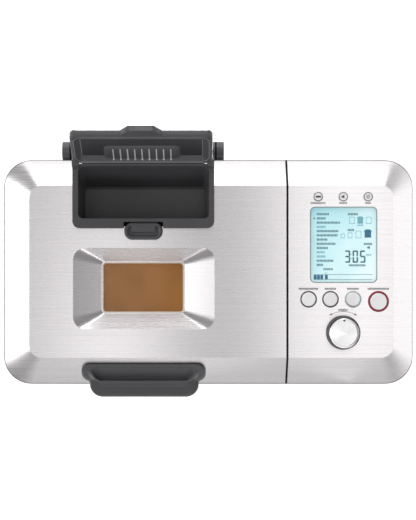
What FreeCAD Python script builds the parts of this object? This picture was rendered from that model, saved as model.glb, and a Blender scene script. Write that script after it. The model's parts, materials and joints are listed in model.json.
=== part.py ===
import FreeCAD, Part
import math
import os
import re
import Sketcher
from FreeCAD import Rotation, Vector

# Bread machine. Millimetres, +Z up, X to the right, Y to the rear.
# The origin is on the counter under the middle of the whole machine, open lid and handle included.

os.makedirs("parts", exist_ok=True)
doc = FreeCAD.newDocument("bread_machine")
sheet = doc.addObject("Spreadsheet::Sheet", "Size")

SIZES = [
    ("body_width", 413, "housing, left to right"),
    ("body_depth", 226, "housing, front to rear"),
    ("origin_back", 7.3, "origin, from the middle of the housing to the rear"),
    ("corner_radius", 28, "upright corners of the housing"),
    ("skin", 1.2, "thickness of the pressed steel"),
    ("foot_height", 8, "rubber foot"),
    ("foot_radius", 12, "rubber foot"),
    ("foot_spread_x", 165, "foot centre from the middle"),
    ("foot_spread_y", 78, "foot centre from the middle"),
    ("tray_top", 24, "top edge of the plastic base tray"),
    ("tray_floor", 11, "upper face of the tray floor"),
    ("wrap_top", 279, "top edge of the steel wrap"),
    ("panel_half", 176, "rear opening of the wrap, half"),
    ("gland_x", 164, "cord gland from the middle"),
    ("gland_z", 50, "cord gland height"),
    ("gland_radius", 9, "sleeve of the cord gland"),
    ("deck_bottom", 271, "underside of the plastic deck"),
    ("parting", 280, "lower edge of lid and fascia"),
    ("bevel_foot", 302, "height where the bevel starts"),
    ("top", 328, "height of the flat top"),
    ("flat_left", -178, "left edge of the flat top"),
    ("flat_right", 184, "right edge of the flat top"),
    ("flat_front", -85, "front edge of the flat top"),
    ("flat_rear", 86, "rear edge of the flat top"),
    ("flat_radius", 12, "corners of the flat top"),
    ("seam", 78.2, "middle of the gap between lid and fascia"),
    ("seam_gap", 1.2, "width of that gap"),
    ("oven_x", -64, "middle of the baking chamber"),
    ("oven_length", 232, "chamber outside, left to right"),
    ("oven_depth", 188, "chamber outside, front to rear"),
    ("oven_radius", 24, "chamber corners"),
    ("oven_floor", 85, "upper face of the chamber floor"),
    ("oven_wall", 1, "chamber sheet"),
    ("tube_radius", 3.5, "heating tube"),
    ("tube_height", 104, "heating tube centre line"),
    ("tube_bend", 35, "bend of the heating tube"),
    ("tube_left", -164, "far side of the heating loop"),
    ("tube_side", 75, "half width of the heating loop"),
    ("tube_end", 62, "where the heating tube ends"),
    ("plate_bottom", 55, "underside of the drive plate"),
    ("plate_top", 58, "upper face of the drive plate"),
    ("shaft_radius", 5, "drive shaft and pan shaft"),
    ("pulley_radius", 38, "large pulley"),
    ("pulley_bottom", 40, "lower face of both pulleys"),
    ("pulley_top", 52, "upper face of both pulleys"),
    ("groove", 1.8, "depth of the belt track"),
    ("motor_x", 140, "motor shaft from the middle"),
    ("motor_radius", 32, "motor can"),
    ("motor_top", 128, "top of the motor can"),
    ("small_pulley_radius", 11.3, "motor pulley"),
    ("belt", 2, "belt thickness"),
    ("pan_bottom", 104, "underside of the pan floor"),
    ("pan_rim", 228, "top of the pan rim"),
    ("pan_half_length", 95, "pan outside at the rim, half"),
    ("pan_half_depth", 60, "pan outside at the rim, half"),
    ("pan_wall", 1.5, "pan sheet"),
    ("bail_height", 206, "bail pivot"),
    ("bail_reach", 69, "pivot to cross bar"),
    ("bail_radius", 2.5, "bail wire"),
    ("bail_side", 101.2, "bail arm from the pan middle"),
    ("glass_left", -107, "window opening"),
    ("glass_right", -23.6, "window opening"),
    ("glass_front", -41.6, "window opening"),
    ("glass_rear", 10.7, "window opening"),
    ("recess_left", -134.4, "window recess at the top"),
    ("recess_right", 6.2, "window recess at the top"),
    ("recess_front", -56.5, "window recess at the top"),
    ("recess_rear", 24.1, "window recess at the top"),
    ("recess_floor", 314, "bottom of the window recess"),
    ("handle_left", -127, "lid handle"),
    ("handle_right", -2.5, "lid handle"),
    ("hinge_y", 122.9, "main lid hinge line"),
    ("hinge_z", 291, "main lid hinge line"),
    ("barrel_radius", 9.5, "main lid hinge barrels"),
    ("pin_radius", 3, "main lid hinge pin"),
    ("box_left", -134.6, "dispenser flange"),
    ("box_right", 5.8, "dispenser flange"),
    ("box_front", 43.6, "dispenser flange"),
    ("box_rear", 112, "dispenser flange"),
    ("box_top", 334, "dispenser flange, upper face"),
    ("box_bottom", 287, "dispenser, lower edge"),
    ("box_middle", -64.4, "dispenser, middle"),
    ("cover_y", 108, "dispenser lid hinge line"),
    ("cover_z", 338, "dispenser lid hinge line"),
    ("cover_open", 116.5, "dispenser lid, angle it stands open"),
    ("cover_length", 57.5, "dispenser lid, hinge to free edge"),
    ("cover_half", 68.5, "dispenser lid, half width"),
    ("button_radius", 8, "lower buttons"),
    ("icon_radius", 4.5, "upper buttons"),
    ("start_radius", 10.2, "start button ring"),
    ("button_row", -26.9, "lower buttons"),
    ("icon_row", 75, "upper buttons"),
    ("start_x", 169.1, "start button"),
    ("start_y", -29.1, "start button"),
    ("knob_x", 134, "selector knob"),
    ("knob_y", -60, "selector knob"),
    ("knob_radius", 16.5, "selector knob"),
    ("knob_top", 344, "selector knob"),
    ("screen_left", 101.1, "display window"),
    ("screen_right", 167.9, "display window"),
    ("screen_front", -10.6, "display window"),
    ("screen_rear", 65.1, "display window"),
    ("board_top", 302, "upper face of the control board"),
    ("gap", 0.3, "free space left between separate pieces"),
]
for row, (name, number, note) in enumerate(SIZES, start=1):
    sheet.set(f"A{row}", note)
    sheet.set(f"B{row}", str(number))
    sheet.setAlias(f"B{row}", name)
doc.recompute()

KNOWN = {name for name, number, note in SIZES}
QUARTER = math.pi / 2
TURNED = {
    "x": Rotation(Vector(0, 1, 0), 90),
    "y": Rotation(Vector(1, 0, 0), -90),
    "z": Rotation(),
}
nodes = []


# ---------------------------------------------------------------- helpers


def linked(text):
    """Name the sheet in front of every size used in the text."""
    return re.sub(r"[a-z_]+", lambda word: "Size." * (word.group() in KNOWN) + word.group(), str(text))


def amount(text):
    return float(sheet.evalExpression(linked(text)))


def bind(thing, slot, text):
    thing.setExpression(slot, linked(text))


def keep(thing, label):
    """Make a finished object one of the named pieces."""
    thing.Label = label
    nodes.append(thing)
    return thing


def span(pair):
    return f"({pair[1]}) - ({pair[0]})"


def put(thing, x=0, y=0, z=0):
    bind(thing, "Placement.Base.x", x)
    bind(thing, "Placement.Base.y", y)
    bind(thing, "Placement.Base.z", z)


def block(x, y, z):
    """A plain box between the low and high value on each axis."""
    item = doc.addObject("Part::Box", "block")
    bind(item, "Length", span(x))
    bind(item, "Width", span(y))
    bind(item, "Height", span(z))
    put(item, x[0], y[0], z[0])
    return item


def rod(radius, x, y, z, axis="z"):
    """A round bar. The coordinate along its axis is a (low, high) pair."""
    item = doc.addObject("Part::Cylinder", "rod")
    ends = {"x": x, "y": y, "z": z}[axis]
    start = {"x": x, "y": y, "z": z, axis: ends[0]}
    bind(item, "Radius", radius)
    bind(item, "Height", span(ends))
    item.Placement = FreeCAD.Placement(Vector(), TURNED[axis])
    put(item, start["x"], start["y"], start["z"])
    return item


def joined(*pieces):
    item = doc.addObject("Part::MultiFuse", "joined")
    item.Shapes = list(pieces)
    return item


def cut(base, *tools):
    item = doc.addObject("Part::Cut", "cut")
    item.Base = base
    item.Tool = tools[0] if len(tools) == 1 else joined(*tools)
    return item


def group(*pieces):
    item = doc.addObject("Part::Compound", "group")
    item.Links = list(pieces)
    return item


def new_body(label):
    return keep(doc.addObject("PartDesign::Body", label), label)


def sketch_on(body, plane, at):
    """A sketch parallel to an origin plane of the body, moved to the coordinate given."""
    sketch = body.newObject("Sketcher::SketchObject", "sketch")
    face = [item for item in body.Origin.OriginFeatures if item.Role == plane + "_Plane"][0]
    sketch.AttachmentSupport = (face, [""])
    sketch.MapMode = "FlatFace"
    sign = "-" if plane == "XZ" else ""
    bind(sketch, "AttachmentOffset.Base.z", f"{sign}({at})")
    return sketch


def drive(sketch, constraint, text):
    index = sketch.addConstraint(constraint)
    bind(sketch, f"Constraints[{index}]", text)


def arc(x, y, radius, start, end):
    return Part.ArcOfCircle(Part.Circle(Vector(x, y, 0), Vector(0, 0, 1), radius), start, end)


def rounded(sketch, x, y, radius):
    """A rectangle with equal round corners between the low and high values."""
    left, right = amount(x[0]), amount(x[1])
    low, high = amount(y[0]), amount(y[1])
    r = amount(radius)
    shapes = [
        Part.LineSegment(Vector(left + r, low, 0), Vector(right - r, low, 0)),
        arc(right - r, low + r, r, -QUARTER, 0),
        Part.LineSegment(Vector(right, low + r, 0), Vector(right, high - r, 0)),
        arc(right - r, high - r, r, 0, QUARTER),
        Part.LineSegment(Vector(right - r, high, 0), Vector(left + r, high, 0)),
        arc(left + r, high - r, r, QUARTER, 2 * QUARTER),
        Part.LineSegment(Vector(left, high - r, 0), Vector(left, low + r, 0)),
        arc(left + r, low + r, r, 2 * QUARTER, 3 * QUARTER),
    ]
    edge = sketch.addGeometry(shapes, False)
    rules = [Sketcher.Constraint("Tangent", edge[i], 2, edge[(i + 1) % 8], 1) for i in range(8)]
    rules += [Sketcher.Constraint("Horizontal", edge[i]) for i in (0, 4)]
    rules += [Sketcher.Constraint("Vertical", edge[i]) for i in (2, 6)]
    rules += [Sketcher.Constraint("Equal", edge[1], edge[i]) for i in (3, 5, 7)]
    sketch.addConstraint(rules)
    drive(sketch, Sketcher.Constraint("Radius", edge[1], r), radius)
    drive(sketch, Sketcher.Constraint("DistanceX", edge[6], 1, edge[2], 1, right - left), span(x))
    drive(sketch, Sketcher.Constraint("DistanceY", edge[0], 1, edge[4], 1, high - low), span(y))
    drive(sketch, Sketcher.Constraint("DistanceX", -1, 1, edge[6], 1, left), x[0])
    drive(sketch, Sketcher.Constraint("DistanceY", -1, 1, edge[0], 1, low), y[0])
    return sketch


def circles(sketch, radius, spots):
    for x, y in spots:
        centre = Vector(amount(x), amount(y), 0)
        ring = sketch.addGeometry(Part.Circle(centre, Vector(0, 0, 1), amount(radius)), False)
        drive(sketch, Sketcher.Constraint("Radius", ring, amount(radius)), radius)
        drive(sketch, Sketcher.Constraint("DistanceX", -1, 1, ring, 3, centre.x), x)
        drive(sketch, Sketcher.Constraint("DistanceY", -1, 1, ring, 3, centre.y), y)
    return sketch


def outline(sketch, corners):
    """A closed outline of straight edges through the corners."""
    points = [Vector(amount(x), amount(y), 0) for x, y in corners]
    count = len(points)
    lines = [Part.LineSegment(points[i], points[(i + 1) % count]) for i in range(count)]
    edge = sketch.addGeometry(lines, False)
    for i, (x, y) in enumerate(corners):
        sketch.addConstraint(Sketcher.Constraint("Coincident", edge[i - 1], 2, edge[i], 1))
        drive(sketch, Sketcher.Constraint("DistanceX", -1, 1, edge[i], 1, points[i].x), x)
        drive(sketch, Sketcher.Constraint("DistanceY", -1, 1, edge[i], 1, points[i].y), y)
    return sketch


def pad(body, sketch, length):
    item = body.newObject("PartDesign::Pad", "pad")
    item.Profile = sketch
    bind(item, "Length", length)
    return item


def pocket(body, sketch, length):
    item = body.newObject("PartDesign::Pocket", "pocket")
    item.Profile = sketch
    bind(item, "Length", length)
    return item


def slab(body, x, y, z, radius):
    """Add an upright plate or block with round corners."""
    pad(body, rounded(sketch_on(body, "XY", z[0]), x, y, radius), span(z))


def hollow(body, x, y, z, radius):
    """Take away an upright space with round corners."""
    pocket(body, rounded(sketch_on(body, "XY", z[1]), x, y, radius), span(z))


def bore(body, radius, spots, z):
    """Take away upright round holes."""
    pocket(body, circles(sketch_on(body, "XY", z[1]), radius, spots), span(z))


def taper(body, kind, low, high):
    """Add or take away a space between two rounded rectangles, each (x, y, z, radius)."""
    item = body.newObject("PartDesign::" + kind, "taper")
    item.Profile = rounded(sketch_on(body, "XY", low[2]), low[0], low[1], low[3])
    item.Sections = [rounded(sketch_on(body, "XY", high[2]), high[0], high[1], high[3])]
    item.Ruled = True
    return item


def spun(body, corners):
    """Turn an outline, given as (radius, height) corners, round the upright axis of the body."""
    item = body.newObject("PartDesign::Revolution", "spun")
    sketch = outline(sketch_on(body, "XZ", 0), corners)
    item.Profile = sketch
    item.ReferenceAxis = (sketch, ["V_Axis"])
    item.Angle = 360
    return item


def about(middle, half):
    """The low and high value at equal distance from the middle."""
    return (f"{middle} - ({half})", f"{middle} + ({half})")


def inset(pair, amount_in):
    """The same range, drawn in at both ends."""
    return (f"{pair[0]} + ({amount_in})", f"{pair[1]} - ({amount_in})")


BODY_X = about(0, "body_width / 2")
BODY_Y = about(0, "body_depth / 2")
FLAT_X = ("flat_left", "flat_right")
FLAT_Y = ("flat_front", "flat_rear")
INNER_RADIUS = "corner_radius - skin"
LID_EDGE = "seam - seam_gap / 2"
FASCIA_EDGE = "seam + seam_gap / 2"
GLASS_X = ("glass_left", "glass_right")
GLASS_Y = ("glass_front", "glass_rear")
OVEN_X = about("oven_x", "oven_length / 2")
OVEN_Y = about(0, "oven_depth / 2")


# ---------------------------------------------------------------- base and housing


def make_base_tray():
    body = new_body("base_tray")
    slab(body, BODY_X, BODY_Y, ("foot_height", "tray_top"), "corner_radius")
    hollow(body, inset(BODY_X, 4), inset(BODY_Y, 4), ("tray_floor", "tray_top"), "corner_radius - 4")
    slots = sketch_on(body, "XY", "tray_floor")
    first, pitch, count = 60, 12, 8
    for column in range(count):
        rounded(slots, about(first + pitch * column, 2.5), about(0, 30), 2.4)
    pocket(body, slots, "tray_floor - foot_height")


def make_feet():
    feet = []
    for x in ("foot_spread_x", "-foot_spread_x"):
        for y in ("foot_spread_y", "-foot_spread_y"):
            feet.append(rod("foot_radius", x, y, (0, "foot_height")))
    keep(group(*feet), "rubber_feet")


def make_wrap():
    body = new_body("housing_wrap")
    slab(body, BODY_X, BODY_Y, ("tray_top", "wrap_top"), "corner_radius")
    hollow(body, inset(BODY_X, "skin"), inset(BODY_Y, "skin"), ("tray_top", "wrap_top"), INNER_RADIUS)
    rear = outline(sketch_on(body, "XZ", "body_depth / 2 - 6"), [
        ("-panel_half", "tray_top - 1"), ("panel_half", "tray_top - 1"),
        ("panel_half", "deck_bottom"), ("-panel_half", "deck_bottom"),
    ])
    pocket(body, rear, 12)


def make_rear_panel():
    body = new_body("rear_panel")
    face = rounded(
        sketch_on(body, "XZ", "body_depth / 2"), inset(("-panel_half", "panel_half"), "gap"),
        ("tray_top + gap", "deck_bottom - gap"), 2,
    )
    pad(body, face, 2.4)
    first, pitch, count = 90, 7, 12
    for column in range(count):
        vent = sketch_on(body, "XZ", "body_depth / 2 - 6")
        pocket(body, rounded(vent, about(first + pitch * column, 1.6), about(210, 22), 1.5), 12)
    gland = sketch_on(body, "XZ", "body_depth / 2 - 6")
    pocket(body, circles(gland, "gland_radius + 0.2", [("gland_x", "gland_z")]), 12)


def make_cord_gland():
    low, high = "body_depth / 2 - 9", "body_depth / 2 + 4"
    sleeve = rod("gland_radius", "gland_x", (low, high), "gland_z", "y")
    collar = rod("gland_radius + 3", "gland_x", ("body_depth / 2 + 0.2", high), "gland_z", "y")
    hole = rod(4, "gland_x", (f"{low} - 1", f"{high} + 1"), "gland_z", "y")
    keep(cut(joined(sleeve, collar), hole), "cord_gland")


def make_deck():
    body = new_body("top_deck")
    inside = "skin + gap"
    slab(body, inset(BODY_X, inside), inset(BODY_Y, inside), ("deck_bottom", "wrap_top"), "corner_radius - 2")
    hollow(body, inset(OVEN_X, 3), inset(OVEN_Y, 3), ("deck_bottom", "wrap_top"), "oven_radius - 3")
    hollow(body, (100, 180), (-70, 70), ("deck_bottom", "wrap_top"), 6)


def make_knuckles():
    pieces = []
    for x in ((-148, -135.5), (4.7, 15.8)):
        barrel = rod("barrel_radius", x, "hinge_y", "hinge_z", "x")
        bracket = block(x, ("body_depth / 2 + 0.2", "hinge_y + 3"), (262, "hinge_z"))
        hole = rod("pin_radius + 0.1", (x[0] - 1, x[1] + 1), "hinge_y", "hinge_z", "x")
        pieces.append(cut(joined(barrel, bracket), hole))
    keep(group(*pieces), "hinge_knuckles")
    keep(rod("pin_radius", (-147, 15), "hinge_y", "hinge_z", "x"), "lid_hinge_pin")


# ---------------------------------------------------------------- chamber and heat


def make_chamber():
    body = new_body("oven_chamber")
    slab(body, OVEN_X, OVEN_Y, ("oven_floor - oven_wall", "deck_bottom"), "oven_radius")
    inner_x = inset(OVEN_X, "oven_wall")
    inner_y = inset(OVEN_Y, "oven_wall")
    hollow(body, inner_x, inner_y, ("oven_floor", "deck_bottom"), "oven_radius - oven_wall")
    bore(body, 17, [("oven_x", 0)], ("oven_floor - oven_wall", "oven_floor"))
    holes = sketch_on(body, "YZ", "oven_x + oven_length / 2 + 4")
    circles(holes, 6.3, [("tube_side", "tube_height"), ("-tube_side", "tube_height")])
    circles(holes, 12, [(-40, 236)])
    circles(holes, 3.3, [(20, 150)])
    pocket(body, holes, 10)


def make_element():
    body = new_body("heating_element")
    path = sketch_on(body, "XY", "tube_height")
    end, left = amount("tube_end"), amount("tube_left")
    side, bend = amount("tube_side"), amount("tube_bend")
    shapes = [
        Part.LineSegment(Vector(end, -side, 0), Vector(left + bend, -side, 0)),
        arc(left + bend, bend - side, bend, 2 * QUARTER, 3 * QUARTER),
        Part.LineSegment(Vector(left, bend - side, 0), Vector(left, side - bend, 0)),
        arc(left + bend, side - bend, bend, QUARTER, 2 * QUARTER),
        Part.LineSegment(Vector(left + bend, side, 0), Vector(end, side, 0)),
    ]
    edge = path.addGeometry(shapes, False)
    path.addConstraint([
        Sketcher.Constraint("Tangent", edge[0], 2, edge[1], 2),
        Sketcher.Constraint("Tangent", edge[1], 1, edge[2], 1),
        Sketcher.Constraint("Tangent", edge[2], 2, edge[3], 2),
        Sketcher.Constraint("Tangent", edge[3], 1, edge[4], 1),
        Sketcher.Constraint("Horizontal", edge[0]),
        Sketcher.Constraint("Vertical", edge[2]),
        Sketcher.Constraint("Horizontal", edge[4]),
        Sketcher.Constraint("Equal", edge[1], edge[3]),
    ])
    drive(path, Sketcher.Constraint("Radius", edge[1], bend), "tube_bend")
    drive(path, Sketcher.Constraint("DistanceX", -1, 1, edge[2], 1, left), "tube_left")
    drive(path, Sketcher.Constraint("DistanceX", -1, 1, edge[0], 1, end), "tube_end")
    drive(path, Sketcher.Constraint("DistanceX", -1, 1, edge[4], 2, end), "tube_end")
    drive(path, Sketcher.Constraint("DistanceY", -1, 1, edge[0], 1, -side), "-tube_side")
    drive(path, Sketcher.Constraint("DistanceY", -1, 1, edge[4], 1, side), "tube_side")
    section = circles(sketch_on(body, "YZ", "tube_end"), "tube_radius", [("-tube_side", "tube_height")])
    pipe = body.newObject("PartDesign::AdditivePipe", "pipe")
    pipe.Profile = section
    pipe.Spine = path


def make_element_fittings():
    wall = "oven_x + oven_length / 2"
    bushings = []
    for side in ("tube_side", "-tube_side"):
        sleeve = rod(6, (f"{wall} - 5", f"{wall} + 6"), side, "tube_height", "x")
        hole = rod("tube_radius + 0.3", (f"{wall} - 6", f"{wall} + 7"), side, "tube_height", "x")
        bushings.append(cut(sleeve, hole))
    posts = []
    for x, y in ((-110, "tube_side"), (-110, "-tube_side"), (0, "tube_side"), (0, "-tube_side")):
        high = "tube_height - tube_radius - gap"
        posts.append(block(about(x, 5), about(y, 4), ("oven_floor", high)))
    keep(group(*bushings, *posts), "element_supports")


def make_chamber_fittings():
    wall = "oven_x + oven_length / 2"
    keep(rod(3, (f"{wall} - 22", f"{wall} + 10"), 20, 150, "x"), "temperature_probe")
    lens = rod(16, (f"{wall} - 4", f"{wall} - 1.2"), -40, 236, "x")
    holder = rod(11, (f"{wall} - 1.2", f"{wall} + 11"), -40, 236, "x")
    keep(joined(lens, holder), "chamber_lamp")
    keep(block((67, 68), (-104, 104), (62, 262)), "heat_shield")


# ---------------------------------------------------------------- drive


def make_drive_plate():
    plate = block((-110, 182), (-48, 48), ("plate_bottom", "plate_top"))
    legs = []
    for x in ((-110, -100), (172, 182)):
        for y in ((-60, -48), (48, 60)):
            legs.append(block(x, y, ("tray_floor", "plate_top")))
    shaft_hole = rod(7, "oven_x", 0, ("plate_bottom", "plate_top"))
    motor_hole = rod(12, "motor_x", 0, ("plate_bottom", "plate_top"))
    keep(cut(joined(plate, *legs), shaft_hole, motor_hole), "drive_plate")


def make_bearing():
    outer = rod(16, "oven_x", 0, ("plate_top", "oven_floor - oven_wall"))
    ring = rod(22, "oven_x", 0, ("plate_top", "plate_top + 4"))
    hole = rod("shaft_radius + 0.05", "oven_x", 0, ("plate_top", "oven_floor"))
    keep(cut(joined(outer, ring), hole), "shaft_bearing")


def make_pan_seat():
    outer = rod(36, "oven_x", 0, ("oven_floor", "pan_bottom - 8"))
    hole = rod(26, "oven_x", 0, ("oven_floor", "pan_bottom - 8"))
    notch = block(about("oven_x", 40), about(0, 4), ("pan_bottom - 12", "pan_bottom - 8"))
    keep(cut(outer, hole, notch), "pan_seat")


def make_pulley(label, rim, x, head):
    """A grooved pulley and its shaft, turned in one piece."""
    body = new_body(label)
    put(body, x)
    track = f"{rim} - groove"
    foot = "pulley_bottom - 3"
    spun(body, [
        (0, foot),
        ("shaft_radius", foot),
        ("shaft_radius", "pulley_bottom"),
        (rim, "pulley_bottom"),
        (rim, "pulley_bottom + 1.6"),
        (track, "pulley_bottom + 1.6"),
        (track, "pulley_top - 1.6"),
        (rim, "pulley_top - 1.6"),
        (rim, "pulley_top"),
        ("shaft_radius", "pulley_top"),
        ("shaft_radius", head),
        (0, head),
    ])


def belt_outline(sketch, big, small):
    """Two circles, at the oven and at the motor, joined by straight runs."""
    first, second = amount("oven_x"), amount("motor_x")
    r, q = amount(big), amount(small)
    lean = math.acos((r - q) / (second - first))
    wide, high = math.cos(lean), math.sin(lean)
    shapes = [
        arc(first, 0, r, lean, 4 * QUARTER - lean),
        Part.LineSegment(Vector(first + r * wide, -r * high, 0), Vector(second + q * wide, -q * high, 0)),
        arc(second, 0, q, -lean, lean),
        Part.LineSegment(Vector(second + q * wide, q * high, 0), Vector(first + r * wide, r * high, 0)),
    ]
    edge = sketch.addGeometry(shapes, False)
    for i in range(4):
        sketch.addConstraint(Sketcher.Constraint("Tangent", edge[i], 2, edge[(i + 1) % 4], 1))
    sketch.addConstraint(Sketcher.Constraint("PointOnObject", edge[0], 3, -1))
    sketch.addConstraint(Sketcher.Constraint("PointOnObject", edge[2], 3, -1))
    drive(sketch, Sketcher.Constraint("DistanceX", -1, 1, edge[0], 3, first), "oven_x")
    drive(sketch, Sketcher.Constraint("DistanceX", -1, 1, edge[2], 3, second), "motor_x")
    drive(sketch, Sketcher.Constraint("Radius", edge[0], r), big)
    drive(sketch, Sketcher.Constraint("Radius", edge[2], q), small)
    return sketch


def make_belt():
    body = new_body("drive_belt")
    rise = "pulley_top - pulley_bottom - 4"
    inner = ("pulley_radius - groove + gap", "small_pulley_radius - groove + gap")
    outer = [f"{radius} + belt" for radius in inner]
    pad(body, belt_outline(sketch_on(body, "XY", "pulley_bottom + 2"), *outer), rise)
    pocket(body, belt_outline(sketch_on(body, "XY", "pulley_top - 2"), *inner), rise)


def make_motor():
    can = rod("motor_radius", "motor_x", 0, ("plate_top", "motor_top"))
    cap = rod(20, "motor_x", 0, ("motor_top", "motor_top + 5"))
    hole = rod("shaft_radius + 0.3", "motor_x", 0, ("plate_top", "plate_top + 20"))
    keep(cut(joined(can, cap), hole), "motor")


def make_coupling():
    disc = rod(14, "oven_x", 0, ("oven_floor + 3", "oven_floor + 6"))
    lugs = [
        block(about(f"oven_x {side} 9", 2.5), about(0, 5), ("oven_floor + 6", "oven_floor + 12"))
        for side in ("-", "+")
    ]
    keep(joined(disc, *lugs), "drive_coupling")


# ---------------------------------------------------------------- pan and paddle


def make_pan():
    body = new_body("bread_pan")
    low_x = about("oven_x", "pan_half_length - 5")
    low_y = about(0, "pan_half_depth - 6")
    high_x = about("oven_x", "pan_half_length")
    high_y = about(0, "pan_half_depth")
    taper(body, "AdditiveLoft", (low_x, low_y, "pan_bottom", 20), (high_x, high_y, "pan_rim", 26))
    slab(body, inset(high_x, -2), inset(high_y, -2), ("pan_rim - 3", "pan_rim"), 28)
    foot = sketch_on(body, "XY", "pan_bottom - 8")
    circles(foot, 34, [("oven_x", 0)])
    pad(body, foot, "9")
    for side in (-1, 1):
        edge = f"oven_x + {side} * pan_half_length"
        ear_x = sorted((f"{edge} - {side} * 2.6", f"{edge} + {side} * 3.4"), key=amount)
        ear = rounded(sketch_on(body, "XY", "bail_height - 8"), ear_x, about(0, 8), 1)
        pad(body, ear, 16)
    inner = ("pan_wall", 18.5, 24.5)
    taper(
        body, "SubtractiveLoft",
        (inset(low_x, inner[0]), inset(low_y, inner[0]), "pan_bottom + pan_wall", inner[1]),
        (inset(high_x, inner[0]), inset(high_y, inner[0]), "pan_rim", inner[2]),
    )
    bore(body, 29, [("oven_x", 0)], ("pan_bottom - 8", "pan_bottom"))
    bore(body, "shaft_radius + 4.3", [("oven_x", 0)], ("pan_bottom - 8", "pan_bottom + 8"))
    holes = sketch_on(body, "YZ", "oven_x + pan_half_length + 6")
    circles(holes, "bail_radius + 0.3", [(0, "bail_height")])
    pocket(body, holes, "2 * pan_half_length + 12")


def make_bail():
    low, high = about("oven_x", "bail_side")
    thick = "bail_radius"
    arms = []
    for x in (low, high):
        arms.append(rod(thick, x, ("-bail_reach", 0), "bail_height", "y"))
        for y in ("-bail_reach", 0):
            ball = doc.addObject("Part::Sphere", "ball")
            bind(ball, "Radius", thick)
            put(ball, x, y, "bail_height")
            arms.append(ball)
    bar = rod(thick, (low, high), "-bail_reach", "bail_height", "x")
    left_pin = rod(thick, (low, f"{low} + 7.5"), 0, "bail_height", "x")
    right_pin = rod(thick, (f"{high} - 7.5", high), 0, "bail_height", "x")
    keep(joined(bar, left_pin, right_pin, *arms), "bail_handle")


def make_pan_drive():
    sleeve = rod("shaft_radius + 4", "oven_x", 0, ("pan_bottom - 4", "pan_bottom + 8"))
    collar = rod("shaft_radius + 8", "oven_x", 0, ("pan_bottom + pan_wall + 0.1", "pan_bottom + 4"))
    hole = rod("shaft_radius + 0.05", "oven_x", 0, ("pan_bottom - 5", "pan_bottom + 9"))
    keep(cut(joined(sleeve, collar), hole), "pan_bearing")
    shaft = rod("shaft_radius", "oven_x", 0, ("pan_bottom - 11", "pan_bottom + 30"))
    bar = block(about("oven_x", 5), about(0, 10), ("pan_bottom - 11.5", "pan_bottom - 6"))
    keep(joined(shaft, bar), "pan_shaft")


def make_paddle():
    hub = rod(10, "oven_x", 0, ("pan_bottom + 8.5", "pan_bottom + 36"))
    blade = doc.addObject("Part::Wedge", "blade")
    sizes = {
        "Xmin": 0, "Xmax": 42, "X2min": 0, "X2max": 33,
        "Ymin": 0, "Ymax": 27, "Zmin": -3.5, "Zmax": 3.5, "Z2min": -2, "Z2max": 2,
    }
    for slot, number in sizes.items():
        bind(blade, slot, number)
    blade.Placement = FreeCAD.Placement(Vector(), Rotation(Vector(1, 0, 0), 90))
    put(blade, "oven_x + 6", 0, "pan_bottom + 8.5")
    hole = rod("shaft_radius + 0.05", "oven_x", 0, ("pan_bottom + 8", "pan_bottom + 31"))
    keep(cut(joined(hub, blade), hole), "kneading_paddle")


# ---------------------------------------------------------------- lid and fascia


def add_cap(body):
    """The bevelled top over the whole housing."""
    slab(body, BODY_X, BODY_Y, ("parting", "bevel_foot"), "corner_radius")
    foot = (BODY_X, BODY_Y, "bevel_foot", "corner_radius")
    taper(body, "AdditiveLoft", foot, (FLAT_X, FLAT_Y, "top", "flat_radius"))


def hollow_cap(body, left, right, flat_left, flat_right):
    """Leave a steel skin with the inside drawn between the given side faces."""
    y = inset(BODY_Y, "skin")
    flat_y = inset(FLAT_Y, "skin * 0.6")
    hollow(body, (left, right), y, ("parting", "bevel_foot - skin * 0.4"), INNER_RADIUS)
    taper(
        body, "SubtractiveLoft",
        ((left, right), y, "bevel_foot - skin * 0.4", INNER_RADIUS),
        ((flat_left, flat_right), flat_y, "top - skin", "flat_radius"),
    )


def make_lid_skin():
    body = new_body("lid_skin")
    add_cap(body)
    hollow(body, (LID_EDGE, "body_width"), (-200, 200), ("parting", "top"), 1)
    hollow_cap(
        body, "skin - body_width / 2", f"{LID_EDGE} - skin",
        "flat_left + skin * 0.6", f"{LID_EDGE} - skin",
    )
    recess_x = ("recess_left", "recess_right")
    recess_y = ("recess_front", "recess_rear")
    floor_z = "recess_floor"
    taper(
        body, "AdditiveLoft",
        (inset(GLASS_X, "-skin"), inset(GLASS_Y, "-skin"), f"{floor_z} - skin", 5),
        (inset(recess_x, "-skin"), inset(recess_y, "-skin"), "top", 13),
    )
    taper(
        body, "SubtractiveLoft",
        (GLASS_X, GLASS_Y, floor_z, 4),
        (recess_x, recess_y, "top", 12),
    )
    hollow(body, inset(GLASS_X, 1), inset(GLASS_Y, 1), (f"{floor_z} - 2 * skin", floor_z), 3.5)
    hollow(body, ("box_left + 3", "box_right - 3"), (45.3, 107.4), ("parting", "top + 1"), 5)
    notch = rounded(sketch_on(body, "XZ", "body_depth / 2 - 4"), (-134.8, 4), (275, 301), 1)
    pocket(body, notch, 8)


def make_fascia():
    body = new_body("control_fascia")
    add_cap(body)
    hollow(body, ("-body_width", FASCIA_EDGE), (-200, 200), ("parting", "top"), 1)
    hollow_cap(
        body, f"{FASCIA_EDGE} + skin", "body_width / 2 - skin",
        f"{FASCIA_EDGE} + skin", "flat_right - skin * 0.6",
    )
    through = ("top - 5", "top")
    hollow(body, ("screen_left", "screen_right"), ("screen_front", "screen_rear"), through, 5)
    bore(body, "button_radius + gap", [(x, "button_row") for x in LOWER_BUTTONS.values()], through)
    bore(body, "icon_radius + gap", [(x, "icon_row") for x in UPPER_BUTTONS.values()], through)
    bore(body, "start_radius + gap", [("start_x", "start_y")], through)
    bore(body, 5, [("knob_x", "knob_y")], through)


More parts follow.
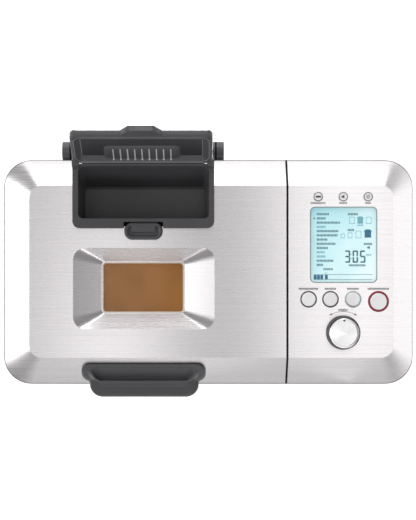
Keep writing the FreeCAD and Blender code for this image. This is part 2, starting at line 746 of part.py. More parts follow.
def make_liner():
    body = new_body("lid_liner")
    x = ("skin + gap - body_width / 2", f"{LID_EDGE} - skin - gap")
    y = inset(BODY_Y, "skin + gap")
    slab(body, x, y, (282, 286), "corner_radius - 2")
    slab(body, inset(GLASS_X, -14), inset(GLASS_Y, -6), (286, 296), 8)
    web_x = (-134.2, 3.4)
    slab(body, web_x, ("body_depth / 2 - 4", "hinge_y"), (282, 287.5), 1)
    barrel = circles(sketch_on(body, "YZ", web_x[0]), "barrel_radius", [("hinge_y", "hinge_z")])
    pad(body, barrel, web_x[1] - web_x[0])
    hollow(body, GLASS_X, GLASS_Y, (280, 300), 4)
    hollow(body, inset(GLASS_X, -6), inset(GLASS_Y, -3), (292, 297), 5)
    hollow(body, ("box_left + 3.4", "box_right - 3.4"), (43, 107.2), (280, 300), 5)
    hole = circles(sketch_on(body, "YZ", 10), "pin_radius + 0.1", [("hinge_y", "hinge_z")])
    pocket(body, hole, 160)


def make_window():
    outer = new_body("window_outer_glass")
    low = "recess_floor - skin - 4.4"
    slab(outer, inset(GLASS_X, -3), inset(GLASS_Y, -3), (low, "recess_floor - skin - 1.4"), 6)
    gasket = new_body("window_gasket")
    ring = ("recess_floor - skin - 1.3", "recess_floor - skin - 0.1")
    slab(gasket, inset(GLASS_X, -3), inset(GLASS_Y, -3), ring, 6)
    hollow(gasket, inset(GLASS_X, 2), inset(GLASS_Y, 2), ring, 3)
    inner = new_body("window_inner_glass")
    slab(inner, inset(GLASS_X, "gap - 6"), inset(GLASS_Y, "gap - 3"), (292.1, 295.2), 4.8)


def make_lid_seal():
    body = new_body("lid_seal")
    height = ("wrap_top + 0.4", 281.9)
    slab(body, inset(OVEN_X, -3), inset(OVEN_Y, -3), height, "oven_radius + 3")
    hollow(body, inset(OVEN_X, 1), inset(OVEN_Y, 1), height, "oven_radius - 1")


def make_lid_handle():
    """A plate on the front bevel, dished in the middle, with a bar to lift it by."""
    body = new_body("lid_handle")
    slab(body, ("handle_left", "handle_right"), (-110, -91.3), (300, 329), 7)
    grip_x = ("handle_left + 7.5", "handle_right - 7.1")
    slab(body, grip_x, (-126, -98), (296, 324), 13)
    above = outline(sketch_on(body, "YZ", 10), [
        (-90, 327.9), (-107, 312.1), (-114, 311.8), (-122, 308.8), (-127, 302),
        (-140, 302), (-140, 345), (-90, 345),
    ])
    pocket(body, above, 160)
    beneath = outline(sketch_on(body, "YZ", 10), [
        (-85, 328.5), (-113.6, 302), (-113.6, 290), (-85, 290),
    ])
    pocket(body, beneath, 160)
    dish = outline(sketch_on(body, "YZ", "handle_right - 11.5"), [
        (-93.3, 335), (-93.3, 321.9), (-108.6, 307.7), (-108.6, 335),
    ])
    pocket(body, dish, "handle_right - handle_left - 23")
    grasp = outline(sketch_on(body, "YZ", "box_middle + 46"), [
        (-113.6, 290), (-122.8, 290), (-122.8, 302), (-119, 306.5), (-113.6, 308),
    ])
    pocket(body, grasp, 92)


# ---------------------------------------------------------------- dispenser


def make_dispenser_box():
    body = new_body("dispenser_box")
    low = (("box_left + 6.4", "box_right - 6.4"), (46, 88), "box_bottom", 5)
    high = (("box_left + 3.6", "box_right - 3.6"), (50.2, 106.8), "box_top - 2", 6)
    taper(body, "AdditiveLoft", low, high)
    slab(body, ("box_left", "box_right"), ("box_front", "box_rear"), ("top + gap", "box_top"), 7)
    for x in (("box_left", "box_left + 7"), ("box_right - 7", "box_right")):
        arm = outline(sketch_on(body, "YZ", x[0]), [
            ("cover_y - 7", "box_top - 3"),
            ("cover_y - 3", "cover_z + 2.5"),
            ("cover_y + 3", "cover_z + 3.4"),
            ("cover_y + 5", "cover_z"),
            ("cover_y + 3.6", "box_top - 3"),
        ])
        pad(body, arm, span(x))
    inside_low = (("box_left + 9", "box_right - 9"), (48.4, 85.6), "box_bottom - 0.1", 4)
    inside_high = (("box_left + 5.6", "box_right - 4.9"), (53.2, 104.2), "box_top + 0.1", 5)
    taper(body, "SubtractiveLoft", inside_low, inside_high)
    hollow(body, about("box_middle", 19.6), ("box_front - 1", 50), ("top", "box_top + 1"), 1)
    hole = circles(sketch_on(body, "YZ", 10), 1.6, [("cover_y", "cover_z")])
    pocket(body, hole, 160)
    lip = rounded(sketch_on(body, "XZ", 83.8), ("box_left + 10", "box_right - 10"), (280, 288.2), 1)
    pocket(body, lip, 5)


def make_dispenser_catch():
    body = new_body("dispenser_catch")
    wide = about("box_middle", 19)
    slab(body, wide, (32.2, 49.6), ("top + gap", "top + 4.6"), 8)
    hollow(body, about("box_middle", 10.5), (41.6, 48.6), ("top + 1.4", "top + 6"), 1)
    hollow(body, about("box_middle", 12.8), (36.2, 38.8), ("top + 2.6", "top + 6"), 0.8)


def add_thumb_tab(body, z):
    """The tab on the free edge of the dispenser lid, between two heights."""
    far = "cover_length"
    tab = outline(sketch_on(body, "XY", z[0]), [
        (-20.5, f"1 - {far}"), (-12, f"-{far} - 8.5"), (12, f"-{far} - 8.5"), (20.5, f"1 - {far}"),
    ])
    pad(body, tab, span(z))


def clear_arms(body, z):
    """Notch both rear corners, where the arms of the dispenser reach the hinge."""
    for side in (-1, 1):
        hollow(body, sorted((side * 61.2, side * 70)), (-8, 5), z, 0.5)


def make_cover():
    """The dispenser lid, drawn shut from its hinge line, then stood open."""
    shell = new_body("dispenser_lid_shell")
    skin = new_body("dispenser_lid_skin")
    length = "cover_length"
    wide = about(0, "cover_half")
    slab(shell, wide, (f"-{length}", -1), (-3.7, 2.4), 6)
    add_thumb_tab(shell, (-3.7, 2.4))
    barrel = circles(sketch_on(shell, "YZ", -60.5), 3.6, [("0", "0")])
    pad(shell, barrel, 121)
    hook = rounded(sketch_on(shell, "XY", -6.6), (-8, 8), ("42.5 - cover_y", "45.5 - cover_y"), 0.8)
    pad(shell, hook, 4)
    clear_arms(shell, (-5, 4))
    recess = rounded(sketch_on(shell, "XY", -0.8), inset(wide, 9), (f"12 - {length}", -5.5), 5)
    pocket(shell, recess, 4)
    swell = rounded(sketch_on(shell, "XY", -2.2), (-36, 36), (-35, -7), 6)
    pad(shell, swell, 2)
    pitch, each_side = 7, 4
    for column in range(-each_side, each_side + 1):
        groove = sketch_on(shell, "XY", -1.4)
        pocket(shell, rounded(groove, about(pitch * column, 1.1), (-30.5, -10.5), 1), 2)
    hole = circles(sketch_on(shell, "YZ", 70), 1.6, [("0", "0")])
    pocket(shell, hole, 140)
    slab(skin, wide, (f"-{length}", -3), (2.5, 3.5), 6)
    add_thumb_tab(skin, (2.5, 3.5))
    clear_arms(skin, (2, 4))
    for piece in (shell, skin):
        piece.Placement = FreeCAD.Placement(Vector(), Rotation(Vector(1, 0, 0), -10))
        bind(piece, "Placement.Rotation.Angle", "-cover_open")
        put(piece, "box_middle", "cover_y", "cover_z")


def make_cover_pin():
    keep(rod(1.5, ("box_left + 1", "box_right - 1"), "cover_y", "cover_z", "x"), "dispenser_pin")


def make_flap():
    plate = block(("box_left + 8", "box_right - 8"), (47, 85.2), (284.6, 286.4))
    barrel = rod(2, ("box_left + 10.4", "box_right - 10.4"), 86.2, 285.6, "x")
    keep(joined(plate, barrel), "dispenser_flap")


def make_solenoid():
    frame = block((-118, -98), (14.5, 34), (298.2, 312))
    coil = rod(7.4, -108, (34, 37), 304, "y")
    hole = rod(2.3, -108, (20, 38), 304, "y")
    keep(cut(joined(frame, coil), hole), "dispenser_solenoid")
    keep(rod(2, -108, (22, 40), 304, "y"), "solenoid_plunger")


# ---------------------------------------------------------------- controls

LOWER_BUTTONS = {"button_delay": 99.7, "button_modify": 121.4, "button_cancel": 143.9}
UPPER_BUTTONS = {"button_units": 109.2, "button_mute": 134.1, "button_light": 158.8}
BUTTON_FOOT = "top - 9.5"


def make_button(label, radius, x, y, rise):
    """A round cap that stands a little above the fascia, with a stem on its switch."""
    body = new_body(label)
    put(body, x, y)
    spun(body, [
        (0, BUTTON_FOOT),
        (2.2, BUTTON_FOOT),
        (2.2, "top - 3"),
        (radius, "top - 3"),
        (radius, f"top + {rise} - 0.6"),
        (f"{radius} - 0.6", f"top + {rise}"),
        (0, f"top + {rise} - 0.2"),
    ])


def make_buttons():
    for label, x in LOWER_BUTTONS.items():
        make_button(label, "button_radius - 1.1", x, "button_row", 1.6)
    for label, x in UPPER_BUTTONS.items():
        make_button(label, "icon_radius", x, "icon_row", 1)
    make_button("button_start", "start_radius - 2", "start_x", "start_y", 1.8)


def ring(outer, inner, x, y, z):
    return cut(rod(outer, x, y, z), rod(inner, x, y, z))


def make_rings():
    height = ("top - 2", "top + 0.7")
    rings = [
        ring("button_radius", "button_radius - 0.8", x, "button_row", height)
        for x in LOWER_BUTTONS.values()
    ]
    keep(group(*rings), "button_rings")
    keep(ring("start_radius", "start_radius - 1.7", "start_x", "start_y", height), "start_ring")


def make_knob():
    body = new_body("select_knob")
    put(body, "knob_x", "knob_y")
    spun(body, [
        (0, "board_top + 6"),
        (3, "board_top + 6"),
        (3, "top + 1.5"),
        ("knob_radius - 2", "top + 1.5"),
        ("knob_radius", "top + 2.5"),
        ("knob_radius - 0.6", "knob_top - 3"),
        ("knob_radius - 1.6", "knob_top - 1.2"),
        (0, "knob_top - 1.2"),
    ])
    cap = new_body("knob_cap")
    put(cap, "knob_x", "knob_y")
    spun(cap, [
        (0, "knob_top - 1.2"),
        ("knob_radius - 1.8", "knob_top - 1.2"),
        ("knob_radius - 2.4", "knob_top - 0.2"),
        ("knob_radius - 4", "knob_top"),
        (0, "knob_top - 0.5"),
    ])
    keep(ring("knob_radius + 0.5", 6, "knob_x", "knob_y", ("top", "top + 1.2")), "knob_collar")


def make_screen():
    x = ("screen_left", "screen_right")
    y = ("screen_front", "screen_rear")
    lens = new_body("screen_lens")
    slab(lens, inset(x, "gap"), inset(y, "gap"), ("top - 2", "top - 0.3"), 4.7)
    module = new_body("screen_module")
    slab(module, inset(x, -2), inset(y, -2), ("top - 12", "top - 5.2"), 2)
    slab(module, inset(x, 1), inset(y, 1), ("top - 5.2", "top - 2.4"), 4)


def make_control_board():
    plate = block((88, 186), (-84, 86), ("board_top - 1.6", "board_top"))
    chips = [
        block((92, 112), (-70, -50), ("board_top", "board_top + 3")),
        block((160, 182), (-78, -62), ("board_top", "board_top + 4")),
        block((110, 160), (5, 60), ("board_top", "board_top + 2")),
    ]
    posts = [
        rod(3, x, y, ("wrap_top", "board_top - 1.6"))
        for x in (92, 182) for y in (-79, 81)
    ]
    spots = [(x, "button_row") for x in LOWER_BUTTONS.values()]
    spots += [(x, "icon_row") for x in UPPER_BUTTONS.values()]
    spots += [("start_x", "start_y")]
    switches = []
    for x, y in spots:
        case = block(about(x, 3), about(y, 3), ("board_top", "board_top + 12"))
        stem = rod(1.7, x, y, ("board_top", "top - 11.3"))
        switches += [case, stem]
    case = block(about("knob_x", 7), about("knob_y", 7), ("board_top", "board_top + 10"))
    neck = rod(4.5, "knob_x", "knob_y", ("board_top", "top - 4"))
    hole = rod(3.1, "knob_x", "knob_y", ("board_top + 5", "top"))
    board = joined(plate, *chips, *posts, *switches, case, neck)
    keep(cut(board, hole), "control_board")


def make_power():
    board = block((76, 77.6), (-96, 96), (140, 250))
    parts = [block((77.6, 92), (y, y + 16), (150, 176)) for y in (-80, -50, 30, 64)]
    parts += [rod(8, (77.6, 102), y, 215, "x") for y in (-60, -36, 50)]
    feet = [block((68, 76), (y, y + 8), (180, 190)) for y in (-92, 84)]
    keep(joined(board, *parts, *feet), "power_board")


# ---------------------------------------------------------------- build


def settle(node):
    """Bring the finished piece forward, from the middle of the housing to the origin."""
    bound = {path.lstrip("."): text for path, text in node.ExpressionEngine}
    place = bound.get("Placement.Base.y", "0")
    node.setExpression("Placement.Base.y", f"{place} - Size.origin_back")


make_base_tray()
make_feet()
make_wrap()
make_rear_panel()
make_cord_gland()
make_deck()
make_knuckles()
make_chamber()
make_element()
make_element_fittings()
make_chamber_fittings()
make_drive_plate()
make_bearing()
make_pan_seat()
make_pulley("large_pulley", "pulley_radius", "oven_x", "oven_floor + 3")
make_pulley("motor_pulley", "small_pulley_radius", "motor_x", "plate_top + 18")
make_belt()
make_motor()
make_coupling()
make_pan()
make_bail()
make_pan_drive()
make_paddle()
make_lid_skin()
make_fascia()
make_liner()
make_window()
make_lid_seal()
make_lid_handle()
make_dispenser_box()
make_dispenser_catch()
make_cover()
make_cover_pin()
make_flap()
make_solenoid()
make_buttons()
make_rings()
make_knob()
make_screen()
make_control_board()
make_power()

for node in nodes:
    settle(node)
doc.recompute()
for thing in doc.Objects:
    if "Invalid" in thing.State or "Error" in thing.State:
        print("problem in", thing.Name, thing.Label, thing.State)
for node in nodes:
    shape = node.Shape
    if shape.isNull() or not shape.isValid():
        raise RuntimeError(f"{node.Label} is not a valid solid")
    shape.exportStep(f"parts/{node.Label}.step")
print(len(nodes), "pieces written")
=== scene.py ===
import bmesh
import bpy
import json
import math
from mathutils import Matrix, Vector


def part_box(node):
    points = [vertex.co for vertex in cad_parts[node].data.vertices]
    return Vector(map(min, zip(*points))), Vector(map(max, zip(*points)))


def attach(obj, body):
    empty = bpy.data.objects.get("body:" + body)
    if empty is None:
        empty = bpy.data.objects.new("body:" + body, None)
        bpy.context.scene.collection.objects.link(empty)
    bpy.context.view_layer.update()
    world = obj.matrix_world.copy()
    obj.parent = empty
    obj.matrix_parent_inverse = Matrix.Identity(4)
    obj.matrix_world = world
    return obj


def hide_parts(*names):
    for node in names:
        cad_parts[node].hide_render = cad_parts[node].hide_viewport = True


# Bread machine seen from above. Metres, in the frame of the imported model.

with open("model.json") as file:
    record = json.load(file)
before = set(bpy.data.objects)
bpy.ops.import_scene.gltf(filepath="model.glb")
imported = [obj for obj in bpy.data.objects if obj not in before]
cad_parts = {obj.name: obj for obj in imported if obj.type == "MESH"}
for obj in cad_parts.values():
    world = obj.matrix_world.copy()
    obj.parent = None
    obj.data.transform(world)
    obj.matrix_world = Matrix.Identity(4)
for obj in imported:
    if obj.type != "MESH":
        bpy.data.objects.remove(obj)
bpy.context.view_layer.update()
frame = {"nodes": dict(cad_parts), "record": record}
nodes = frame["nodes"]
record = frame["record"]
scene = bpy.context.scene

MM = 0.001
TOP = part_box("control_fascia")[1].z
SCREEN_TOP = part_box("screen_module")[1].z
INK = 0.05 * MM


# ---------------------------------------------------------------- material helpers


def new_material(name):
    material = bpy.data.materials.new(name)
    material.use_nodes = True
    return material, material.node_tree, material.node_tree.nodes["Principled BSDF"]


def add_node(tree, kind, **settings):
    node = tree.nodes.new(kind)
    for key, value in settings.items():
        if key in node.inputs:
            node.inputs[key].default_value = value
        else:
            setattr(node, key, value)
    return node


def noise(tree, scale, stretch=(1, 1, 1), detail=3.0):
    """Noise in the object's own metres, stretched by a factor on each axis."""
    where = add_node(tree, "ShaderNodeTexCoord")
    mapping = add_node(tree, "ShaderNodeMapping")
    mapping.inputs["Scale"].default_value = stretch
    texture = add_node(tree, "ShaderNodeTexNoise")
    texture.inputs["Scale"].default_value = scale
    texture.inputs["Detail"].default_value = detail
    tree.links.new(where.outputs["Object"], mapping.inputs["Vector"])
    tree.links.new(mapping.outputs["Vector"], texture.inputs["Vector"])
    return texture.outputs["Fac"]


def remap(tree, value, low, high, start=0.3, end=0.7):
    node = add_node(tree, "ShaderNodeMapRange")
    node.inputs["From Min"].default_value = start
    node.inputs["From Max"].default_value = end
    node.inputs["To Min"].default_value = low
    node.inputs["To Max"].default_value = high
    tree.links.new(value, node.inputs["Value"])
    return node.outputs["Result"]


def blend_colours(tree, value, first, second):
    node = add_node(tree, "ShaderNodeMix", data_type="RGBA")
    for socket in node.inputs:
        if socket.type == "RGBA":
            socket.default_value = (*(first if socket.name == "A" else second), 1)
    tree.links.new(value, node.inputs["Factor"])
    return [socket for socket in node.outputs if socket.type == "RGBA"][0]


def bump(tree, shader, height, strength, distance):
    node = add_node(tree, "ShaderNodeBump")
    node.inputs["Strength"].default_value = strength
    node.inputs["Distance"].default_value = distance
    tree.links.new(height, node.inputs["Height"])
    tree.links.new(node.outputs["Normal"], shader.inputs["Normal"])


def shade(colour, factor):
    return tuple(min(1.0, part * factor) for part in colour)


def surface(
    name, colour, roughness, metallic=0.0, vary=0.05, spread=0.04, broad=14.0,
    fine=1800.0, stretch=(1, 1, 1), strength=0.25, depth=0.05, tangent=None, **sockets
):
    """A finish with broad colour change, fine grain in its roughness and a bumpy surface."""
    material, tree, shader = new_material(name)
    patches = remap(tree, noise(tree, broad), 0, 1)
    grain = noise(tree, fine, stretch)
    colours = blend_colours(tree, patches, shade(colour, 1 - vary), shade(colour, 1 + vary))
    tree.links.new(colours, shader.inputs["Base Color"])
    gloss = remap(tree, grain, roughness - spread, roughness + spread)
    tree.links.new(gloss, shader.inputs["Roughness"])
    bump(tree, shader, grain, strength, depth * MM)
    shader.inputs["Metallic"].default_value = metallic
    for key, value in sockets.items():
        shader.inputs[key.replace("_", " ")].default_value = value
    if tangent:
        direction = add_node(tree, "ShaderNodeTangent", direction_type="RADIAL", axis=tangent)
        tree.links.new(direction.outputs["Tangent"], shader.inputs["Tangent"])
    return material


def scratches(tree, along, across, detail):
    """Noise drawn out along X; upright faces take their lines from height instead of depth."""
    where = add_node(tree, "ShaderNodeTexCoord")
    place = add_node(tree, "ShaderNodeSeparateXYZ")
    facing = add_node(tree, "ShaderNodeSeparateXYZ")
    tree.links.new(where.outputs["Object"], place.inputs["Vector"])
    tree.links.new(where.outputs["Normal"], facing.inputs["Vector"])
    upward = add_node(tree, "ShaderNodeMath", operation="GREATER_THAN")
    upward.inputs[1].default_value = 0.3
    tree.links.new(facing.outputs["Z"], upward.inputs[0])
    line = add_node(tree, "ShaderNodeMix", data_type="FLOAT")
    tree.links.new(upward.outputs["Value"], line.inputs["Factor"])
    tree.links.new(place.outputs["Z"], line.inputs["A"])
    tree.links.new(place.outputs["Y"], line.inputs["B"])
    joined = add_node(tree, "ShaderNodeCombineXYZ")
    for value, factor, axis in ((place.outputs["X"], along, "X"), (line.outputs["Result"], across, "Y")):
        scaled = add_node(tree, "ShaderNodeMath", operation="MULTIPLY")
        scaled.inputs[1].default_value = factor
        tree.links.new(value, scaled.inputs[0])
        tree.links.new(scaled.outputs["Value"], joined.inputs[axis])
    texture = add_node(tree, "ShaderNodeTexNoise")
    texture.inputs["Scale"].default_value = 1
    texture.inputs["Detail"].default_value = detail
    tree.links.new(joined.outputs["Vector"], texture.inputs["Vector"])
    return texture.outputs["Fac"]


def steel(name, colour, roughness, along, across, tangent, rotation):
    """Brushed sheet: long scratches along one direction, with a few deeper ones."""
    material, tree, shader = new_material(name)
    fine = scratches(tree, along, across, 4)
    coarse = scratches(tree, along * 0.22, across * 0.22, 2)
    both = add_node(tree, "ShaderNodeMath", operation="ADD")
    tree.links.new(fine, both.inputs[0])
    tree.links.new(coarse, both.inputs[1])
    streaks = remap(tree, both.outputs["Value"], 0, 1, 0.7, 1.3)
    colours = blend_colours(tree, streaks, shade(colour, 0.978), shade(colour, 1.022))
    tree.links.new(colours, shader.inputs["Base Color"])
    tree.links.new(remap(tree, fine, roughness - 0.03, roughness + 0.04), shader.inputs["Roughness"])
    bump(tree, shader, both.outputs["Value"], 0.012, 0.02 * MM)
    shader.inputs["Metallic"].default_value = 1
    shader.inputs["Anisotropic"].default_value = 0.75
    shader.inputs["Anisotropic Rotation"].default_value = rotation
    direction = add_node(tree, "ShaderNodeTangent", direction_type="RADIAL", axis=tangent)
    tree.links.new(direction.outputs["Tangent"], shader.inputs["Tangent"])
    return material


def clear(name, colour, alpha, roughness, vary=0.02):
    """Thin see-through glass or plastic, clear or tinted, with faint smears in its gloss."""
    material, tree, shader = new_material(name)
    smears = noise(tree, 40)
    colours = blend_colours(tree, smears, colour, shade(colour, 1 - vary))
    tree.links.new(colours, shader.inputs["Base Color"])
    tree.links.new(remap(tree, smears, roughness, roughness + 0.04), shader.inputs["Roughness"])
    shader.inputs["Alpha"].default_value = alpha
    return material


def lit(name, colour, second, strength, scale=30.0):
    """A softly lit face whose colour drifts between two tints in broad patches."""
    material, tree, shader = new_material(name)
    drift = noise(tree, scale)
    colours = blend_colours(tree, drift, colour, second)
    tree.links.new(colours, shader.inputs["Base Color"])
    tree.links.new(colours, shader.inputs["Emission Color"])
    shader.inputs["Emission Strength"].default_value = strength
    shader.inputs["Specular IOR Level"].default_value = 0.05
    tree.links.new(remap(tree, drift, 0.3, 0.4), shader.inputs["Roughness"])
    return material


def screen_glow(name, teal, pale, strength):
    """A backlit display: teal at its upper left corner, paler towards the lower right."""
    material, tree, shader = new_material(name)
    low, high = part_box("screen_module")
    where = add_node(tree, "ShaderNodeTexCoord")
    split = add_node(tree, "ShaderNodeSeparateXYZ")
    tree.links.new(where.outputs["Object"], split.inputs["Vector"])
    across = remap(tree, split.outputs["X"], 0, 0.6, low.x, high.x)
    down = remap(tree, split.outputs["Y"], 0.4, 0, low.y, high.y)
    both = add_node(tree, "ShaderNodeMath", operation="ADD")
    tree.links.new(across, both.inputs[0])
    tree.links.new(down, both.inputs[1])
    cloudy = add_node(tree, "ShaderNodeMath", operation="ADD")
    tree.links.new(both.outputs["Value"], cloudy.inputs[0])
    tree.links.new(remap(tree, noise(tree, 45), -0.12, 0.12), cloudy.inputs[1])
    colours = blend_colours(tree, cloudy.outputs["Value"], teal, pale)
    tree.links.new(colours, shader.inputs["Base Color"])
    tree.links.new(colours, shader.inputs["Emission Color"])
    shader.inputs["Emission Strength"].default_value = strength
    tree.links.new(remap(tree, noise(tree, 900), 0.3, 0.4), shader.inputs["Roughness"])
    return material


# ---------------------------------------------------------------- materials, one for each slot
# The housing wrap is the exception: it takes a darker copy of the brushed steel, painted shade on its sides,
# though its slot is brushed_steel.

STEEL = (0.80, 0.775, 0.783)
DARK = (0.066, 0.066, 0.071)

MATERIALS = {
    "brushed_steel": steel("brushed_steel", STEEL, 0.27, 2.5, 1500, "Y", 0.25),
    "shaded_side_steel": steel("shaded_side_steel", (0.40, 0.39, 0.395), 0.36, 2.5, 1100, "Y", 0.25),
    "cover_steel": steel("cover_steel", STEEL, 0.27, 2.5, 1500, "Y", 0.25),
    "chamber_steel": surface("chamber_steel", (0.55, 0.53, 0.50), 0.42, 1.0, 0.08, fine=900),
    "dark_plastic": surface("dark_plastic", DARK, 0.44, vary=0.12, fine=2600, strength=0.35),
    "liner_plastic": surface("liner_plastic", (0.10, 0.10, 0.10), 0.55, fine=2200, strength=0.3),
    "base_plastic": surface("base_plastic", (0.05, 0.05, 0.053), 0.5, fine=2200, strength=0.35),
    "foot_rubber": surface("foot_rubber", (0.03, 0.03, 0.03), 0.8, fine=1500, strength=0.3),
    "seal_rubber": surface("seal_rubber", (0.80, 0.66, 0.52), 0.6, fine=1500),
    "window_glass": clear("window_glass", (0.66, 0.285, 0.06), 0.55, 0.10, 0.45),
    "screen_glass": clear("screen_glass", (0.80, 0.95, 0.97), 0.05, 0.12),
    "screen_face": screen_glow("screen_face", (0.36, 0.70, 0.75), (0.78, 0.91, 0.92), 0.36),
    "button_plastic": surface("button_plastic", (0.97, 0.96, 0.97), 0.3, 0.0, 0.03, fine=1200),
    "ring_plastic": surface("ring_plastic", (0.06, 0.06, 0.065), 0.25, fine=1200, strength=0.1),
    "start_red": surface("start_red", (0.36, 0.006, 0.035), 0.25, fine=1200, strength=0.1),
    "knob_plastic": surface("knob_plastic", (0.02, 0.02, 0.022), 0.4, fine=2000),
    "knob_metal": surface(
        "knob_metal", (0.95, 0.95, 0.95), 0.24, 1.0, 0.03, 0.015, fine=500, tangent="Z", strength=0.02,
        Anisotropic=0.85,
    ),
    "pan_coating": surface(
        "pan_coating", (0.36, 0.165, 0.055), 0.42, 0.25, 0.16, broad=60, fine=900, strength=0.4, depth=0.1,
    ),
    "shaft_steel": surface("shaft_steel", (0.62, 0.62, 0.63), 0.2, 1.0, fine=700, strength=0.1),
    "bearing_brass": surface("bearing_brass", (0.62, 0.43, 0.18), 0.3, 1.0, fine=700),
    "heater_metal": surface("heater_metal", (0.16, 0.15, 0.145), 0.5, 0.8, 0.2, broad=60),
    "support_ceramic": surface("support_ceramic", (0.78, 0.75, 0.68), 0.6),
    "pulley_metal": surface("pulley_metal", (0.55, 0.55, 0.56), 0.3, 1.0, tangent="Z", Anisotropic=0.5),
    "belt_rubber": surface("belt_rubber", (0.02, 0.02, 0.02), 0.7),
    "motor_metal": surface("motor_metal", (0.30, 0.31, 0.32), 0.45, 0.3),
    "board_green": surface("board_green", (0.03, 0.17, 0.07), 0.4, vary=0.15, broad=80),
    "lamp_glass": lit("lamp_glass", (1.0, 0.80, 0.50), (1.0, 0.70, 0.40), 3.0),
}

for part in record["subparts"]:
    node = nodes[part["node"]]
    node.data.materials.clear()
    # The housing wrap gets the darker steel: painted shade on its sides.
    finish = "shaded_side_steel" if part["node"] == "housing_wrap" else part["material_slot"]
    node.data.materials.append(MATERIALS[finish])


# ---------------------------------------------------------------- mesh helpers


def add_piece(name, build, material, body, turned=Matrix(), replaced=(), bevel=0.0, thick=0.0):
    """Close a bmesh into a piece that rides on a body, with soft edges where asked."""
    bmesh.ops.remove_doubles(build, verts=build.verts, dist=0.001 * MM)
    bmesh.ops.recalc_face_normals(build, faces=build.faces)
    bmesh.ops.transform(build, matrix=turned, verts=build.verts)
    mesh = bpy.data.meshes.new(name)
    build.to_mesh(mesh)
    build.free()
    mesh.shade_smooth()
    mesh.set_sharp_from_angle(angle=math.radians(40))
    piece = bpy.data.objects.new(name, mesh)
    scene.collection.objects.link(piece)
    piece.data.materials.append(material)
    if thick:
        shell = piece.modifiers.new("wall", "SOLIDIFY")
        shell.thickness = thick * MM
        shell.offset = -1
    if bevel:
        soft = piece.modifiers.new("soft_edges", "BEVEL")
        soft.width = bevel * MM
        soft.segments = 3
        soft.limit_method = "ANGLE"
        soft.angle_limit = math.radians(35)
    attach(piece, body)
    if replaced:
        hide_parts(*replaced)
    return piece


def rounded_loop(x, y, radius, z, inset=0.0, steps=8):
    """Points of a rounded rectangle in millimetres, drawn in by the inset."""
    x0, x1, y0, y1 = x[0] + inset, x[1] - inset, y[0] + inset, y[1] - inset
    r = max(radius - inset, 0.2)
    points = []
    corners = ((x1 - r, y1 - r, 0), (x0 + r, y1 - r, 90), (x0 + r, y0 + r, 180), (x1 - r, y0 + r, 270))
    for cx, cy, start in corners:
        for i in range(steps + 1):
            a = math.radians(start + 90 * i / steps)
            points.append((cx + r * math.cos(a), cy + r * math.sin(a), z))
    return points


def skin_over(build, loops, ends=True):
    """Join loops of equal length with quads, and close the first and the last."""
    rows = [[build.verts.new(Vector(point) * MM) for point in loop] for loop in loops]
    for low, high in zip(rows, rows[1:]):
        for i in range(len(low)):
            j = (i + 1) % len(low)
            build.faces.new((low[i], low[j], high[j], high[i]))
    if ends:
        build.faces.new(rows[0][::-1])
        build.faces.new(rows[-1])


def prism(build, outline, z0, z1):
    skin_over(build, [[(x, y, z0) for x, y in outline], [(x, y, z1) for x, y in outline]])


def lathe(build, profile, x, y, count=72):
    """Turn a closed profile of (radius, height) corners round an upright axis."""
    rows = []
    for radius, z in profile:
        steps = [2 * math.pi * i / count for i in range(count)]
        rows.append([(x + radius * math.cos(a), y + radius * math.sin(a), z) for a in steps])
    skin_over(build, rows + [rows[0]], ends=False)


def smooth_step(value, low, high):
    t = min(1.0, max(0.0, (value - low) / (high - low)))
    return t * t * (3 - 2 * t)


def outside(x, y, wide, deep, radius):
    """How far a point lies outside a rounded rectangle; negative inside it."""
    px = abs(x - (wide[0] + wide[1]) / 2) - (wide[1] - wide[0]) / 2 + radius
    py = abs(y - (deep[0] + deep[1]) / 2) - (deep[1] - deep[0]) / 2 + radius
    return math.hypot(max(px, 0), max(py, 0)) + min(max(px, py), 0) - radius


def range_mm(node):
    """The node's low and high value on each axis, in millimetres."""
    low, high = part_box(node)
    return [(low[i] / MM, high[i] / MM) for i in range(3)]


# ---------------------------------------------------------------- lid handle

LID_X, LID_Y, LID_Z = range_mm("lid_skin")
FRONT = LID_Y[0]
BEVEL_FOOT = 302
BEVEL_RUN = 28
CORNER = 28
BEVEL_SLOPE = (LID_Z[1] - BEVEL_FOOT) / BEVEL_RUN
HANDLE_X, HANDLE_Y = range_mm("lid_handle")[:2]
PLATE = (HANDLE_X, (FRONT + 3, HANDLE_Y[1]), 8)
GRIP = ((HANDLE_X[0] + 7.5, HANDLE_X[1] - 7.1), (HANDLE_Y[0], FRONT + 15), 13)
DISH = ((HANDLE_X[0] + 7.5, HANDLE_X[1] - 7.5), (FRONT + 4.4, HANDLE_Y[1] - 2.2), 6)
DISH_TAPER = 0.42
DISH_RISE = 1.6
PLATE_RISE = 4
LIP_RISE = 4.4
LIP_OFFSET = 1.4
LIP_WIDTH = 2.9
GRIP_SLOPE = 0.12
EDGE_ROLL = 3.4
CREST = FRONT + 3


def beyond_handle(x, y):
    return min(outside(x, y, *PLATE), outside(x, y, *GRIP))


